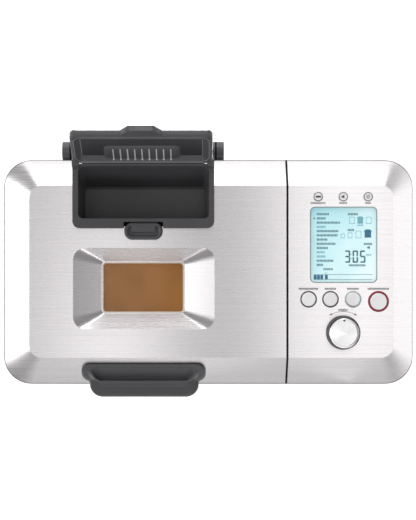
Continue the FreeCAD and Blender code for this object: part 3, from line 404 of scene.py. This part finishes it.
def handle_height(x, y):
    """Upper face of the handle: a sloping plate, a dish, a raised lip round it and a rolled edge."""
    slope = BEVEL_FOOT + (y - FRONT) * BEVEL_SLOPE
    at_crest = BEVEL_FOOT + (CREST - FRONT) * BEVEL_SLOPE + PLATE_RISE
    height = slope + PLATE_RISE if y > CREST else at_crest + (y - CREST) * GRIP_SLOPE
    centre = (DISH[0][0] + DISH[0][1]) / 2
    half = centre - DISH[0][0]
    narrowed = half - DISH_TAPER * max(0, HANDLE_Y[1] - y)
    from_dish = outside(centre + (x - centre) * half / narrowed, y, *DISH)
    forward = smooth_step(HANDLE_Y[1] - y, 3, 14)
    height += LIP_RISE * forward * math.exp(-((from_dish - LIP_OFFSET) / LIP_WIDTH) ** 2)
    sunk = smooth_step(-from_dish, -0.6, 2.6)
    height += (slope + DISH_RISE - height) * sunk
    inside = -beyond_handle(x, y)
    if inside < EDGE_ROLL:
        height -= EDGE_ROLL - math.sqrt(EDGE_ROLL ** 2 - (EDGE_ROLL - max(inside, 0)) ** 2)
    return height


def handle_rays(count=34):
    """Start points on the middle line of the handle, each with a direction outward."""
    middle = FRONT + 8
    left, right = GRIP[0][0] + 16, GRIP[0][1] - 16
    rays = []
    for i in range(count):
        rays.append((right - (right - left) * i / count, middle, 90))
    for i in range(count):
        rays.append((left, middle, 90 + 180 * i / count))
    for i in range(count):
        rays.append((left + (right - left) * i / count, middle, 270))
    for i in range(count):
        rays.append((right, middle, 270 + 180 * i / count))
    return rays


def edge_along(x, y, angle):
    """Where a ray from inside the handle meets its outline."""
    near, far = 0.0, 60.0
    for i in range(24):
        half = (near + far) / 2
        if beyond_handle(x + half * math.cos(angle), y + half * math.sin(angle)) < 0:
            near = half
        else:
            far = half
    return near


def make_handle():
    rays = [(x, y, math.radians(a)) for x, y, a in handle_rays()]
    reaches = [edge_along(x, y, a) for x, y, a in rays]
    steps = [0, 0.012, 0.03, 0.055, 0.09, 0.13, 0.17] + [0.21 + 0.79 * i / 22 for i in range(23)]
    foot = []
    for (x, y, a), reach in zip(rays, reaches):
        px, py = x + reach * math.cos(a), y + reach * math.sin(a)
        foot.append((px, py, max(BEVEL_FOOT - 4.5, BEVEL_FOOT + (py - FRONT) * BEVEL_SLOPE + 0.1)))
    loops = [foot]
    for step in steps:
        loop = []
        for (x, y, a), reach in zip(rays, reaches):
            px = x + reach * (1 - step) * math.cos(a)
            py = y + reach * (1 - step) * math.sin(a)
            loop.append((px, py, handle_height(px, py)))
        loops.append(loop)
    build = bmesh.new()
    skin_over(build, loops, ends=False)
    piece = add_piece(
        "handle_shell", build, MATERIALS["dark_plastic"], "lid",
        replaced=("lid_handle",), thick=1.6,
    )
    piece.data.set_sharp_from_angle(angle=math.radians(80))


# ---------------------------------------------------------------- dispenser lid

JOINTS = {joint["name"]: joint for joint in record["behaviour"]["joints"]}
COVER_HINGE = JOINTS["dispenser_lid_hinge"]
COVER_OPEN = COVER_HINGE["range_deg"][0]
COVER_HALF = (range_mm("dispenser_lid_shell")[0][1] - range_mm("dispenser_lid_shell")[0][0]) / 2
COVER_LENGTH = 57.5
COVER_NEAR = -5.7
COVER_FACE = -3.7
COVER_BACK = 2.4
PANEL_FLOOR = -0.8
BOSS_TOP = -2.3


def cover_place():
    """From the lid drawn shut round its hinge line to the lid as it stands open."""
    return Matrix.Translation(COVER_HINGE["pos_m"]) @ Matrix.Rotation(math.radians(COVER_OPEN), 4, "X")


def make_cover_shell():
    wide, long = (-COVER_HALF, COVER_HALF), (-COVER_LENGTH, COVER_NEAR)
    build = bmesh.new()
    section = [
        (0, COVER_BACK), (0, COVER_FACE + 1.2), (0.4, COVER_FACE + 0.35), (1.2, COVER_FACE),
        (3.0, COVER_FACE), (3.6, COVER_FACE + 0.25), (8.4, PANEL_FLOOR - 0.2), (9.4, PANEL_FLOOR),
    ]
    skin_over(build, [rounded_loop(wide, long, 6, z, inset) for inset, z in section])
    left_side = [(-21, 2), (-19.5, -1), (-12.5, -8), (-10.5, -8.5)]
    tab = [(x, y - COVER_LENGTH) for x, y in left_side]
    tab += [(-x, y - COVER_LENGTH) for x, y in left_side[::-1]]
    prism(build, tab, COVER_FACE + 0.2, COVER_BACK)
    prism(build, [(x * 0.62, y * 0.985) for x, y in tab[1:-1]], COVER_FACE - 0.15, COVER_FACE + 0.4)
    web = COVER_HALF - 8.6
    prism(build, bar(-web, web, COVER_NEAR - 2, 0), COVER_FACE + 0.7, COVER_BACK - 0.1)
    backing = COVER_HALF - 0.4
    prism(build, bar(-backing, backing, COVER_NEAR - 1, -3.4), COVER_BACK - 0.6, COVER_BACK - 0.05)
    boss = ((-38, 38), (-35.5, COVER_NEAR - 3), 7)
    section = [(0, PANEL_FLOOR + 0.2), (0.6, PANEL_FLOOR - 0.15), (3.2, BOSS_TOP + 0.25), (4.6, BOSS_TOP)]
    skin_over(build, [rounded_loop(*boss, z, inset) for inset, z in section])
    ring = [2 * math.pi * i / 32 for i in range(32)]
    reach = COVER_HALF - 8
    ends = ((-reach, 3.0), (-reach + 0.6, 3.6), (reach - 0.6, 3.6), (reach, 3.0))
    skin_over(build, [[(x, r * math.cos(a), r * math.sin(a)) for a in ring] for x, r in ends])
    add_piece(
        "cover_shell", build, MATERIALS["dark_plastic"], "dispenser_lid",
        turned=cover_place(), replaced=("dispenser_lid_shell",), bevel=0.35,
    )


def make_cover_ribs():
    """Nine narrow ribs on the boss, each with a round foot near the hinge, in pale grey: painted highlights
    on the dark lid.
    """
    build = bmesh.new()
    for column in range(-4, 5):
        x = 7 * column
        long = ((x - 0.62, x + 0.62), (-30.5, -11), 0.6)
        rise = ((0, BOSS_TOP + 0.1), (0, BOSS_TOP - 0.45), (0.3, BOSS_TOP - 0.7))
        skin_over(build, [rounded_loop(*long, z, inset, 4) for inset, z in rise])
        foot = ((x - 1.1, x + 1.1), (-12.4, -10.2), 1.09)
        rise = ((0, BOSS_TOP + 0.1), (0, BOSS_TOP - 0.6), (0.35, BOSS_TOP - 1.0), (0.8, BOSS_TOP - 1.2))
        skin_over(build, [rounded_loop(*foot, z, inset, 4) for inset, z in rise])
    add_piece(
        "cover_ribs", build, RIB_HIGHLIGHT_GREY, "dispenser_lid", turned=cover_place(),
    )


def make_cover_lining():
    """The recessed panel inside the dispenser lid in a darker copy of its plastic, painted shade, and the
    lighter beads that frame it, painted highlights.
    """
    wide, long = (-COVER_HALF, COVER_HALF), (-COVER_LENGTH, COVER_NEAR)
    panel = bmesh.new()
    section = ((9.8, PANEL_FLOOR + 0.1), (9.8, PANEL_FLOOR - 0.15), (10.2, PANEL_FLOOR - 0.25))
    skin_over(panel, [rounded_loop(wide, long, 12, z, inset) for inset, z in section])
    add_piece(
        "cover_panel", panel, PANEL_SHADE_PLASTIC, "dispenser_lid", turned=cover_place(),
    )
    # Lighter beads round the rim and the panel: painted highlights on their edges.
    beads = bmesh.new()
    for inset, z in ((2.7, COVER_FACE), (9.2, PANEL_FLOOR - 0.2)):
        section = ((inset, z + 0.2), (inset + 0.1, z - 0.15), (inset + 0.8, z - 0.15), (inset + 0.9, z + 0.2))
        loops = [rounded_loop(wide, long, 12, height, across) for across, height in section]
        skin_over(beads, loops + [loops[0]], ends=False)
    # The ledge by the hinge in the same lighter grey: a painted highlight.
    ledge = ((8 - COVER_HALF, COVER_HALF - 8), (COVER_NEAR - 2.6, COVER_NEAR - 0.6), 1)
    section = ((0, COVER_FACE + 0.2), (0, COVER_FACE - 0.05), (0.4, COVER_FACE - 0.15))
    skin_over(beads, [rounded_loop(*ledge, z, inset) for inset, z in section])
    add_piece(
        "cover_beads", beads, BEAD_HIGHLIGHT_GREY, "dispenser_lid", turned=cover_place(),
    )


# ---------------------------------------------------------------- dispenser catch


def make_catch():
    """A U-shaped bracket round a sliding block, with a lip for the thumb."""
    x, y, z = range_mm("dispenser_catch")
    low, top = z
    build = bmesh.new()
    section = [
        (0, low), (0, top - 1.4), (0.5, top - 0.4), (1.4, top),
        (2.6, top), (3.5, top - 0.5), (3.9, top - 1.4), (4.1, low + 1.2),
    ]
    skin_over(build, [rounded_loop(x, y, 8, height, inset) for inset, height in section])
    block = ((x[0] + 6.6, x[1] - 6.6), (y[0] + 7.4, y[1] - 0.6), 1.6)
    section = [(0, low + 0.6), (0, top - 1.5), (0.4, top - 0.9), (1.2, top - 0.7)]
    skin_over(build, [rounded_loop(*block, height, inset) for inset, height in section])
    add_piece(
        "catch_bracket", build, MATERIALS["dark_plastic"], "catch",
        replaced=("dispenser_catch",),
    )


# ---------------------------------------------------------------- control details


def ring_section(outer, inner, z0, z1):
    soft = 0.25
    return [
        (inner, z0), (outer, z0), (outer, z1 - soft),
        (outer - soft, z1), (inner + soft, z1), (inner, z1 - soft),
    ]


def make_button_rings():
    z0, z1 = range_mm("button_rings")[2]
    for node, material in (
        ("button_delay", MATERIALS["ring_plastic"]), ("button_modify", MATERIALS["ring_plastic"]),
        ("button_cancel", PALE_RING),
    ):
        x, y = middle_of(node)
        build = bmesh.new()
        lathe(build, ring_section(8, 7.2, z0, z1), x, y)
        replaced = ("button_rings",) if node == "button_delay" else ()
        add_piece(node + "_ring", build, material, "housing", replaced=replaced)


def make_screen_border():
    """A thin dark edge round the display, where the lens sits in the fascia: painted shade on the recess
    wall.
    """
    low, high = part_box("screen_lens")
    x, y = (low.x / MM, high.x / MM), (low.y / MM, high.y / MM)
    z = TOP / MM
    section = [(-0.25, z - 0.6), (-0.25, z + 0.12), (0.35, z + 0.12), (0.35, z - 0.6)]
    build = bmesh.new()
    loops = [rounded_loop(x, y, 4.7, height, inset) for inset, height in section]
    skin_over(build, loops + [loops[0]], ends=False)
    add_piece("screen_border", build, EDGE_SHADE_GREY, "housing")


def make_seam_strip():
    """A near-black strip filling the gap between the lid and the control fascia: painted shade in the gap."""
    proud = 0.15
    x = (LID_X[1] + 0.1, range_mm("control_fascia")[0][0] + 0.9)
    y0, y1 = LID_Y[0] - proud, LID_Y[1] + proud
    foot, top = BEVEL_FOOT, LID_Z[1] + proud
    outline = [
        (y0, LID_Z[0] + 1), (y0, foot), (y0 + BEVEL_RUN, top),
        (y1 - BEVEL_RUN + 1, top), (y1, foot), (y1, LID_Z[0] + 1),
    ]
    build = bmesh.new()
    skin_over(build, [[(side, y, z) for y, z in outline] for side in x])
    add_piece("seam_strip", build, GAP_SHADE_BLACK, "housing", bevel=0.1)


def make_edge_hems():
    """The folded edge of the sheet at the foot of the bevel, drawn as a thin grey outline: painted shade
    where the fold turns away from the light.
    """
    x, y = (LID_X[0], range_mm("control_fascia")[0][1]), LID_Y
    section = (
        (0.05, BEVEL_FOOT - 1.5), (0.05, BEVEL_FOOT + 0.2),
        (0.75, BEVEL_FOOT + 0.82), (0.75, BEVEL_FOOT + 0.3),
    )
    steps = 12
    per_corner = steps + 1
    for name, body, end, corner in (
        ("lid_hem", "lid", LID_X[1] - 0.2, 1),
        ("fascia_hem", "housing", range_mm("control_fascia")[0][0] + 0.2, 3),
    ):
        build = bmesh.new()
        rails = []
        for inset, z in section:
            loop = rounded_loop(x, y, CORNER, z, inset, steps)
            path = [loop[(corner * per_corner + i) % len(loop)] for i in range(2 * per_corner)]
            rear, front = (end, y[1] - inset, z), (end, y[0] + inset, z)
            first, last = (rear, front) if corner == 1 else (front, rear)
            rails.append([first, *path, last])
        skin_over(build, [list(points) for points in zip(*rails)])
        add_piece(name, build, EDGE_SHADE_GREY, body)


def make_barrel_groove_shade():
    """A thin black band near the inner end of each hinge barrel: painted shade of the groove there."""
    low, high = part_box("lid_hinge_pin")
    y, z = (low.y + high.y) / 2 / MM, (low.z + high.z) / 2 / MM
    build = bmesh.new()
    steps = [2 * math.pi * i / 48 for i in range(48)]
    for side, x in enumerate(range_mm("hinge_knuckles")[0]):
        inward = 1 if side == 0 else -1
        rows = []
        for radius, offset in ((9.3, 7.2), (9.6, 7.4), (9.6, 9.0), (9.3, 9.2)):
            place = x + inward * offset
            rows.append([(place, y + radius * math.cos(a), z + radius * math.sin(a)) for a in steps])
        skin_over(build, rows + [rows[0]], ends=False)
    add_piece("barrel_groove_shade", build, GAP_SHADE_BLACK, "housing")


# ---------------------------------------------------------------- printed and lit marks


def plate_piece(name, shapes, z, thickness, material, body):
    """One piece made of thin flat plates, each given by its outline in millimetres."""
    mesh = bpy.data.meshes.new(name)
    build = bmesh.new()
    for shape in shapes:
        low = [build.verts.new((x * MM, y * MM, z)) for x, y in shape]
        face = build.faces.new(low)
        face.normal_update()
        if face.normal.z < 0:
            face.normal_flip()
        raised = bmesh.ops.extrude_face_region(build, geom=[face])
        verts = [item for item in raised["geom"] if isinstance(item, bmesh.types.BMVert)]
        bmesh.ops.translate(build, vec=(0, 0, thickness), verts=verts)
    bmesh.ops.recalc_face_normals(build, faces=build.faces)
    build.to_mesh(mesh)
    build.free()
    piece = bpy.data.objects.new(name, mesh)
    scene.collection.objects.link(piece)
    piece.data.materials.append(material)
    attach(piece, body)
    return piece


def bar(x0, x1, y0, y1):
    return [(x0, y0), (x1, y0), (x1, y1), (x0, y1)]


def disc(x, y, radius, count=28):
    steps = [2 * math.pi * i / count for i in range(count)]
    return [(x + radius * math.cos(a), y + radius * math.sin(a)) for a in steps]


def arc_band(x, y, radius, width, start, end, count=16):
    """A flat band along part of a circle, angles in degrees."""
    steps = [math.radians(start + (end - start) * i / count) for i in range(count + 1)]
    far, near = radius + width / 2, radius - width / 2
    outer = [(x + far * math.cos(a), y + far * math.sin(a)) for a in steps]
    inner = [(x + near * math.cos(a), y + near * math.sin(a)) for a in steps]
    return outer + inner[::-1]


def ring_bands(x, y, radius, width):
    return [arc_band(x, y, radius, width, 90 * i, 90 * (i + 1), 10) for i in range(4)]


def word(x0, x1, y, height):
    """A row of small blocks that stands for a word without being one."""
    pitch = height * 0.62
    count = max(2, round((x1 - x0) / pitch))
    step = (x1 - x0) / count
    return [
        bar(x0 + step * i, x0 + step * (i + 0.66), y - height / 2, y + height / 2)
        for i in range(count)
    ]


def loaf(x, y, width, height):
    """The outline of a tin loaf standing on y: straight sides and a domed top that overhangs."""
    half = width / 2
    dome = height * 0.36
    side = half * 0.86
    points = [(x - side, y), (x + side, y), (x + side, y + height - dome)]
    for i in range(9):
        a = math.radians(-20 + 220 * i / 8)
        points.append((x + half * math.cos(a), y + height - dome * 0.7 + dome * 0.7 * math.sin(a)))
    points.append((x - side, y + height - dome))
    return points


def loaf_line(x, y, width, height, line):
    """The same outline as a thin line, built as short bars between its corners."""
    outer = loaf(x, y, width, height)
    cx, cy = x, y + height / 2
    shrink_x, shrink_y = 1 - 2 * line / width, 1 - 2 * line / height
    inner = [(cx + (px - cx) * shrink_x, cy + (py - cy) * shrink_y) for px, py in outer]
    count = len(outer)
    return [[outer[i], outer[(i + 1) % count], inner[(i + 1) % count], inner[i]] for i in range(count)]


SEGMENTS = {"0": "abcdef", "3": "abcdg", "5": "acdfg"}


def digit(name, x, y, width, height, line):
    """A seven-segment figure with its lower left corner at x, y."""
    half = height / 2
    cut_in = line * 0.35
    places = {
        "a": bar(x + cut_in, x + width - cut_in, y + height - line, y + height),
        "d": bar(x + cut_in, x + width - cut_in, y, y + line),
        "g": bar(x + cut_in, x + width - cut_in, y + half - line / 2, y + half + line / 2),
        "f": bar(x, x + line, y + half + cut_in, y + height - cut_in),
        "e": bar(x, x + line, y + cut_in, y + half - cut_in),
        "b": bar(x + width - line, x + width, y + half + cut_in, y + height - cut_in),
        "c": bar(x + width - line, x + width, y + cut_in, y + half - cut_in),
    }
    return [places[key] for key in SEGMENTS[name]]


def speaker(x, y, size):
    """A small loudspeaker sign: a box and a cone."""
    return [
        bar(x - size * 0.5, x - size * 0.2, y - size * 0.22, y + size * 0.22),
        [(x - size * 0.18, y - size * 0.22), (x + size * 0.3, y - size * 0.5),
         (x + size * 0.3, y + size * 0.5), (x - size * 0.18, y + size * 0.22)],
    ]


INK_DARK = surface("print_dark", (0.06, 0.055, 0.06), 0.5, vary=0.1, fine=1500, strength=0.05)
INK_TEAL = lit("screen_teal", (0.012, 0.14, 0.18), (0.02, 0.17, 0.21), 0.05)
INK_BLUE = lit("screen_blue", (0.0, 0.13, 0.24), (0.001, 0.15, 0.28), 0.12)
INK_PALE = lit("screen_pale", (0.14, 0.40, 0.48), (0.17, 0.45, 0.52), 0.2)
# A darker copy of the lid plastic: painted shade on the lid's recessed panel.
PANEL_SHADE_PLASTIC = surface("panel_shade_plastic", (0.024, 0.024, 0.027), 0.5, vary=0.1, fine=2600)
# Lighter grey of the beads and ledge: painted highlights on the dark lid.
BEAD_HIGHLIGHT_GREY = surface("bead_highlight_grey", (0.20, 0.20, 0.215), 0.35, vary=0.1, fine=2600, strength=0.2)
# Pale grey for the ribs: painted highlights on the dark lid plastic.
RIB_HIGHLIGHT_GREY = surface("rib_highlight_grey", (0.50, 0.50, 0.51), 0.3, vary=0.1, fine=2600, strength=0.2)
PALE_RING = surface("pale_ring", (0.60, 0.72, 0.80), 0.3, vary=0.06, fine=1200, strength=0.1)
# Near-black for painted shade: the gap by the lid and the grooves on the hinge barrels.
GAP_SHADE_BLACK = surface(
    "gap_shade_black", (0.006, 0.006, 0.007), 0.7, fine=1500, strength=0.1, Specular_IOR_Level=0.15,
)
# Grey for painted shade: the recess edge round the display and the folded edge at the bevel foot.
EDGE_SHADE_GREY = surface("edge_shade_grey", (0.16, 0.17, 0.175), 0.35, vary=0.1, fine=1500, strength=0.1)

SCREEN_LOW, SCREEN_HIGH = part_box("screen_lens")
SCREEN_X = SCREEN_LOW.x / MM
SCREEN_Y = SCREEN_HIGH.y / MM


def on_screen(x, y):
    """Millimetres from the left and the top edge of the display."""
    return SCREEN_X + x, SCREEN_Y - y


# Left, right, depth and height of the other words on the display.
HEADINGS = (
    (37.6, 47.8, 7.1, 2.2), (37.4, 44.0, 22.9, 2.2), (53.6, 62.0, 36.7, 2.2),
    (38.4, 55.2, 58.0, 2.0), (13.2, 22.8, 61.8, 2.0),
)
MENU_WIDTHS = (12.5, 9.1, 23.3, 9.0, 21.8, 21.0, 10.9, 18.9, 11.4, 8.2, 8.9, 16.8, 6.4)
PALE_ROWS = (3, 9, 10)


def menu_marks():
    dark, pale = [], []
    for row, width in enumerate(MENU_WIDTHS):
        x, y = on_screen(6.6, 7.1 + 4.21 * row)
        (pale if row in PALE_ROWS else dark).extend(word(x, x + width, y, 2.2))
    x, y = on_screen(4.1, 11.3)
    dark.append(disc(x, y, 0.8))
    return dark, pale


def screen_marks():
    dark, pale = menu_marks()
    blue, line = [], []
    for x0, x1, y, height in HEADINGS:
        left, top = on_screen(x0, y)
        dark.extend(word(left, left + x1 - x0, top, height))
    for x0, x1, y in ((47.1, 53.0, 18.1), (55.5, 61.0, 47.6)):
        left, top = on_screen(x0, y)
        pale.extend(word(left, left + x1 - x0, top, 1.6))
    for index, middle in enumerate((41.6, 49.8, 58.2)):
        x, y = on_screen(middle, 16.6)
        if index == 1:
            pale.append(loaf(x, y, 6.4, 7.4))
        else:
            line.extend(loaf_line(x, y, 6.2, 7.0, 0.5))
    for middle, width, height in ((32.4, 4.4, 4.4), (39.6, 5.2, 5.6), (48.1, 6.4, 7.4)):
        x, y = on_screen(middle, 30.9)
        line.extend(loaf_line(x, y, width, height, 0.5))
    x, y = on_screen(57.4, 30.4)
    blue.append(loaf(x, y, 7.6, 8.3))
    x, y = on_screen(58.3, 40.3)
    dark.extend(speaker(x, y, 3.4))
    for name, left in (("3", 34.4), ("0", 42.2), ("5", 49.6)):
        x, y = on_screen(left, 55.4)
        dark.extend(digit(name, x, y, 5.4, 12.2, 1.45))
    for lift in (3.6, 8.2):
        x, y = on_screen(40.8, 55.4)
        dark.append(bar(x - 0.4, x + 0.4, y + lift, y + lift + 0.8))
    for depth in (67.2, 72.2):
        x, y = on_screen(3.5, depth)
        dark.append(bar(x, x + 58.5, y - 0.2, y + 0.2))
    for start, end in ((3.5, 6.4), (6.8, 9.7), (10.1, 12.9), (14.6, 17.5)):
        x, y = on_screen(start, 71.8)
        blue.append(bar(x, x + end - start, y, y + 4.2))
    x, y = on_screen(15.8, 66.6)
    dark.append([(x - 0.6, y + 1.4), (x, y), (x + 0.6, y + 1.4)])
    z = SCREEN_TOP + INK
    for name, shapes, ink in (
        ("screen_dark_marks", dark, INK_TEAL), ("screen_pale_marks", pale, INK_PALE),
        ("screen_blue_marks", blue, INK_BLUE), ("screen_line_marks", line, INK_PALE),
    ):
        plate_piece(name, shapes, z, INK, ink, "housing")


def middle_of(node):
    low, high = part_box(node)
    return (low.x + high.x) / 2 / MM, (low.y + high.y) / 2 / MM


def panel_print():
    shapes = []
    for node, width in (("button_units", 15.0), ("button_mute", 8.0), ("button_light", 5.9)):
        x, y = middle_of(node)
        shapes.extend(word(x - width / 2, x + width / 2, y - 6.3, 1.7))
    for node, width, drop in (
        ("button_delay", 19.4, 10.4), ("button_modify", 11.4, 10.4),
        ("button_cancel", 11.8, 10.4), ("button_start", 21.5, 12.6),
    ):
        x, y = middle_of(node)
        shapes.extend(word(x - width / 2, x + width / 2, y + drop, 2.0))
    x, y = middle_of("select_knob")
    shapes.extend(word(x - 4.7, x + 4.7, y + 22.5, 2.0))
    radius, low = 26.5, y - 5.6
    shapes.append(arc_band(x, low, radius, 0.45, 63, 117, 24))
    for side in (-1, 1):
        a = math.radians(90 + 28.5 * side)
        tip, base = a + 0.05 * side, a - 0.06 * side
        arrow = ((radius, tip), (radius - 1.0, base), (radius + 1.0, base))
        shapes.append([(x + r * math.cos(turn), low + r * math.sin(turn)) for r, turn in arrow])
    plate_piece("panel_print", shapes, TOP, INK, INK_DARK, "housing")


def icon_marks():
    for kind in ("units", "mute", "light"):
        node, body = f"button_{kind}", f"{kind}_button"
        x, y = middle_of(node)
        shapes = ring_bands(x, y, 4.0, 0.55)
        if kind == "units":
            shapes.append(bar(x - 2.6, x + 2.6, y - 0.9, y + 0.9))
        elif kind == "mute":
            shapes.extend(speaker(x, y, 3.4))
        else:
            shapes.extend(ring_bands(x, y, 1.1, 0.4))
            for i in range(8):
                a = math.radians(45 * i)
                c, s = math.cos(a), math.sin(a)
                ray = ((1.6, 0.15), (1.6, -0.15), (2.3, -0.15), (2.3, 0.15))
                shapes.append([(x + out * c - side * s, y + out * s + side * c) for out, side in ray])
        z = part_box(node)[1].z
        plate_piece(node + "_mark", shapes, z, INK, INK_DARK, body)


def knob_mark():
    """A small pointer at the rim of the selector knob."""
    x, y = middle_of("select_knob")
    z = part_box("knob_cap")[1].z
    shapes = [[(x - 1.5, y + 13.2), (x + 1.1, y + 13.4), (x + 0.4, y + 11.4), (x - 0.8, y + 11.3)]]
    plate_piece("knob_mark", shapes, z - 4 * INK, 8 * INK, INK_DARK, "knob")


screen_marks()
panel_print()
icon_marks()
knob_mark()
make_handle()
make_cover_shell()
make_cover_ribs()
make_catch()
make_button_rings()
make_screen_border()
make_seam_strip()
make_edge_hems()
make_barrel_groove_shade()
make_cover_lining()


# ---------------------------------------------------------------- smooth round faces

for node in nodes.values():
    node.data.shade_smooth()
    node.data.set_sharp_from_angle(angle=math.radians(32))


# ---------------------------------------------------------------- floor, light and camera


def add_floor():
    mesh = bpy.data.meshes.new("floor")
    half = 14.0
    corners = [(-half, -half, 0), (half, -half, 0), (half, half, 0), (-half, half, 0)]
    mesh.from_pydata(corners, [], [(0, 1, 2, 3)])
    floor = bpy.data.objects.new("floor", mesh)
    scene.collection.objects.link(floor)
    paper = surface("floor_white", (0.93, 0.93, 0.93), 0.8, vary=0.01, strength=0.02)
    shader = paper.node_tree.nodes["Principled BSDF"]
    shader.inputs["Emission Color"].default_value = (1, 1, 1, 1)
    shader.inputs["Emission Strength"].default_value = 0.6
    floor.data.materials.append(paper)


def add_light(name, place, target, size, power):
    data = bpy.data.lights.new(name, "AREA")
    data.shape = "RECTANGLE"
    data.size, data.size_y = size
    data.energy = power
    lamp = bpy.data.objects.new(name, data)
    lamp.location = place
    lamp.rotation_euler = (Vector(target) - Vector(place)).to_track_quat("-Z", "Y").to_euler()
    scene.collection.objects.link(lamp)


OVERHEAD = 2.6
SIDE_REACH, SIDE_HEIGHT = 2.2, 0.9
HIGH_REACH, HIGH_HEIGHT = 1.9, 1.45
MACHINE_MIDDLE = (0, 0, 0.3)


def add_lights():
    world = bpy.data.worlds.new("studio")
    scene.world = world
    world.use_nodes = True
    background = world.node_tree.nodes["Background"]
    background.inputs["Color"].default_value = (1.0, 0.99, 0.99, 1)
    background.inputs["Strength"].default_value = 0.28
    for name, x, y, size, power in (
        ("over_left", -0.25, -0.6, (0.28, 1.8), 2.1),
        ("far_left", -1.0, 0, (0.9, 2.4), 4.6),
        ("over_right", 0.38, 0.2, (0.42, 2.2), 3.7),
    ):
        add_light(name, (x, y, OVERHEAD), (x, y, 0), size, power)
    for name, place, size, power in (
        ("left_side", (-SIDE_REACH, 0.1, SIDE_HEIGHT), (1.6, 1.2), 17),
        ("right_side", (SIDE_REACH, 0.1, SIDE_HEIGHT), (1.6, 1.2), 2.4),
        ("rear_side", (0, SIDE_REACH, SIDE_HEIGHT), (2.4, 1.2), 17),
        ("front_side", (0, -SIDE_REACH, SIDE_HEIGHT), (2.4, 1.2), 1.5),
        ("left_high", (-HIGH_REACH, 0, HIGH_HEIGHT), (1.2, 0.8), 5),
        ("right_high", (HIGH_REACH, 0, HIGH_HEIGHT), (1.2, 0.8), 2.2),
        ("front_high", (0, -HIGH_REACH, HIGH_HEIGHT), (1.2, 0.8), 7),
        ("rear_high", (0, HIGH_REACH, HIGH_HEIGHT), (1.2, 0.8), 10),
    ):
        add_light(name, place, MACHINE_MIDDLE, size, power)
    low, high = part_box("bread_pan")
    data = bpy.data.lights.new("chamber_glow", "POINT")
    data.energy = 0.35
    data.color = (1.0, 0.80, 0.55)
    data.shadow_soft_size = 0.02
    glow = bpy.data.objects.new("chamber_glow", data)
    glow.location = (high.x - 0.02, (low.y + high.y) / 2 - 0.03, high.z + 0.02)
    scene.collection.objects.link(glow)


def add_camera():
    data = bpy.data.cameras.new("camera")
    distance = 1.5
    seen = 0.5167
    data.sensor_width = 36
    data.lens = data.sensor_width * distance / seen
    data.clip_start, data.clip_end = 0.05, 20
    camera = bpy.data.objects.new("camera", data)
    low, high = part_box("base_tray")
    camera.location = (-0.0003, (low.y + high.y) / 2 + 0.0121, TOP + distance)
    scene.collection.objects.link(camera)
    scene.camera = camera


add_floor()
add_lights()
add_camera()
scene.view_settings.view_transform = "Standard"
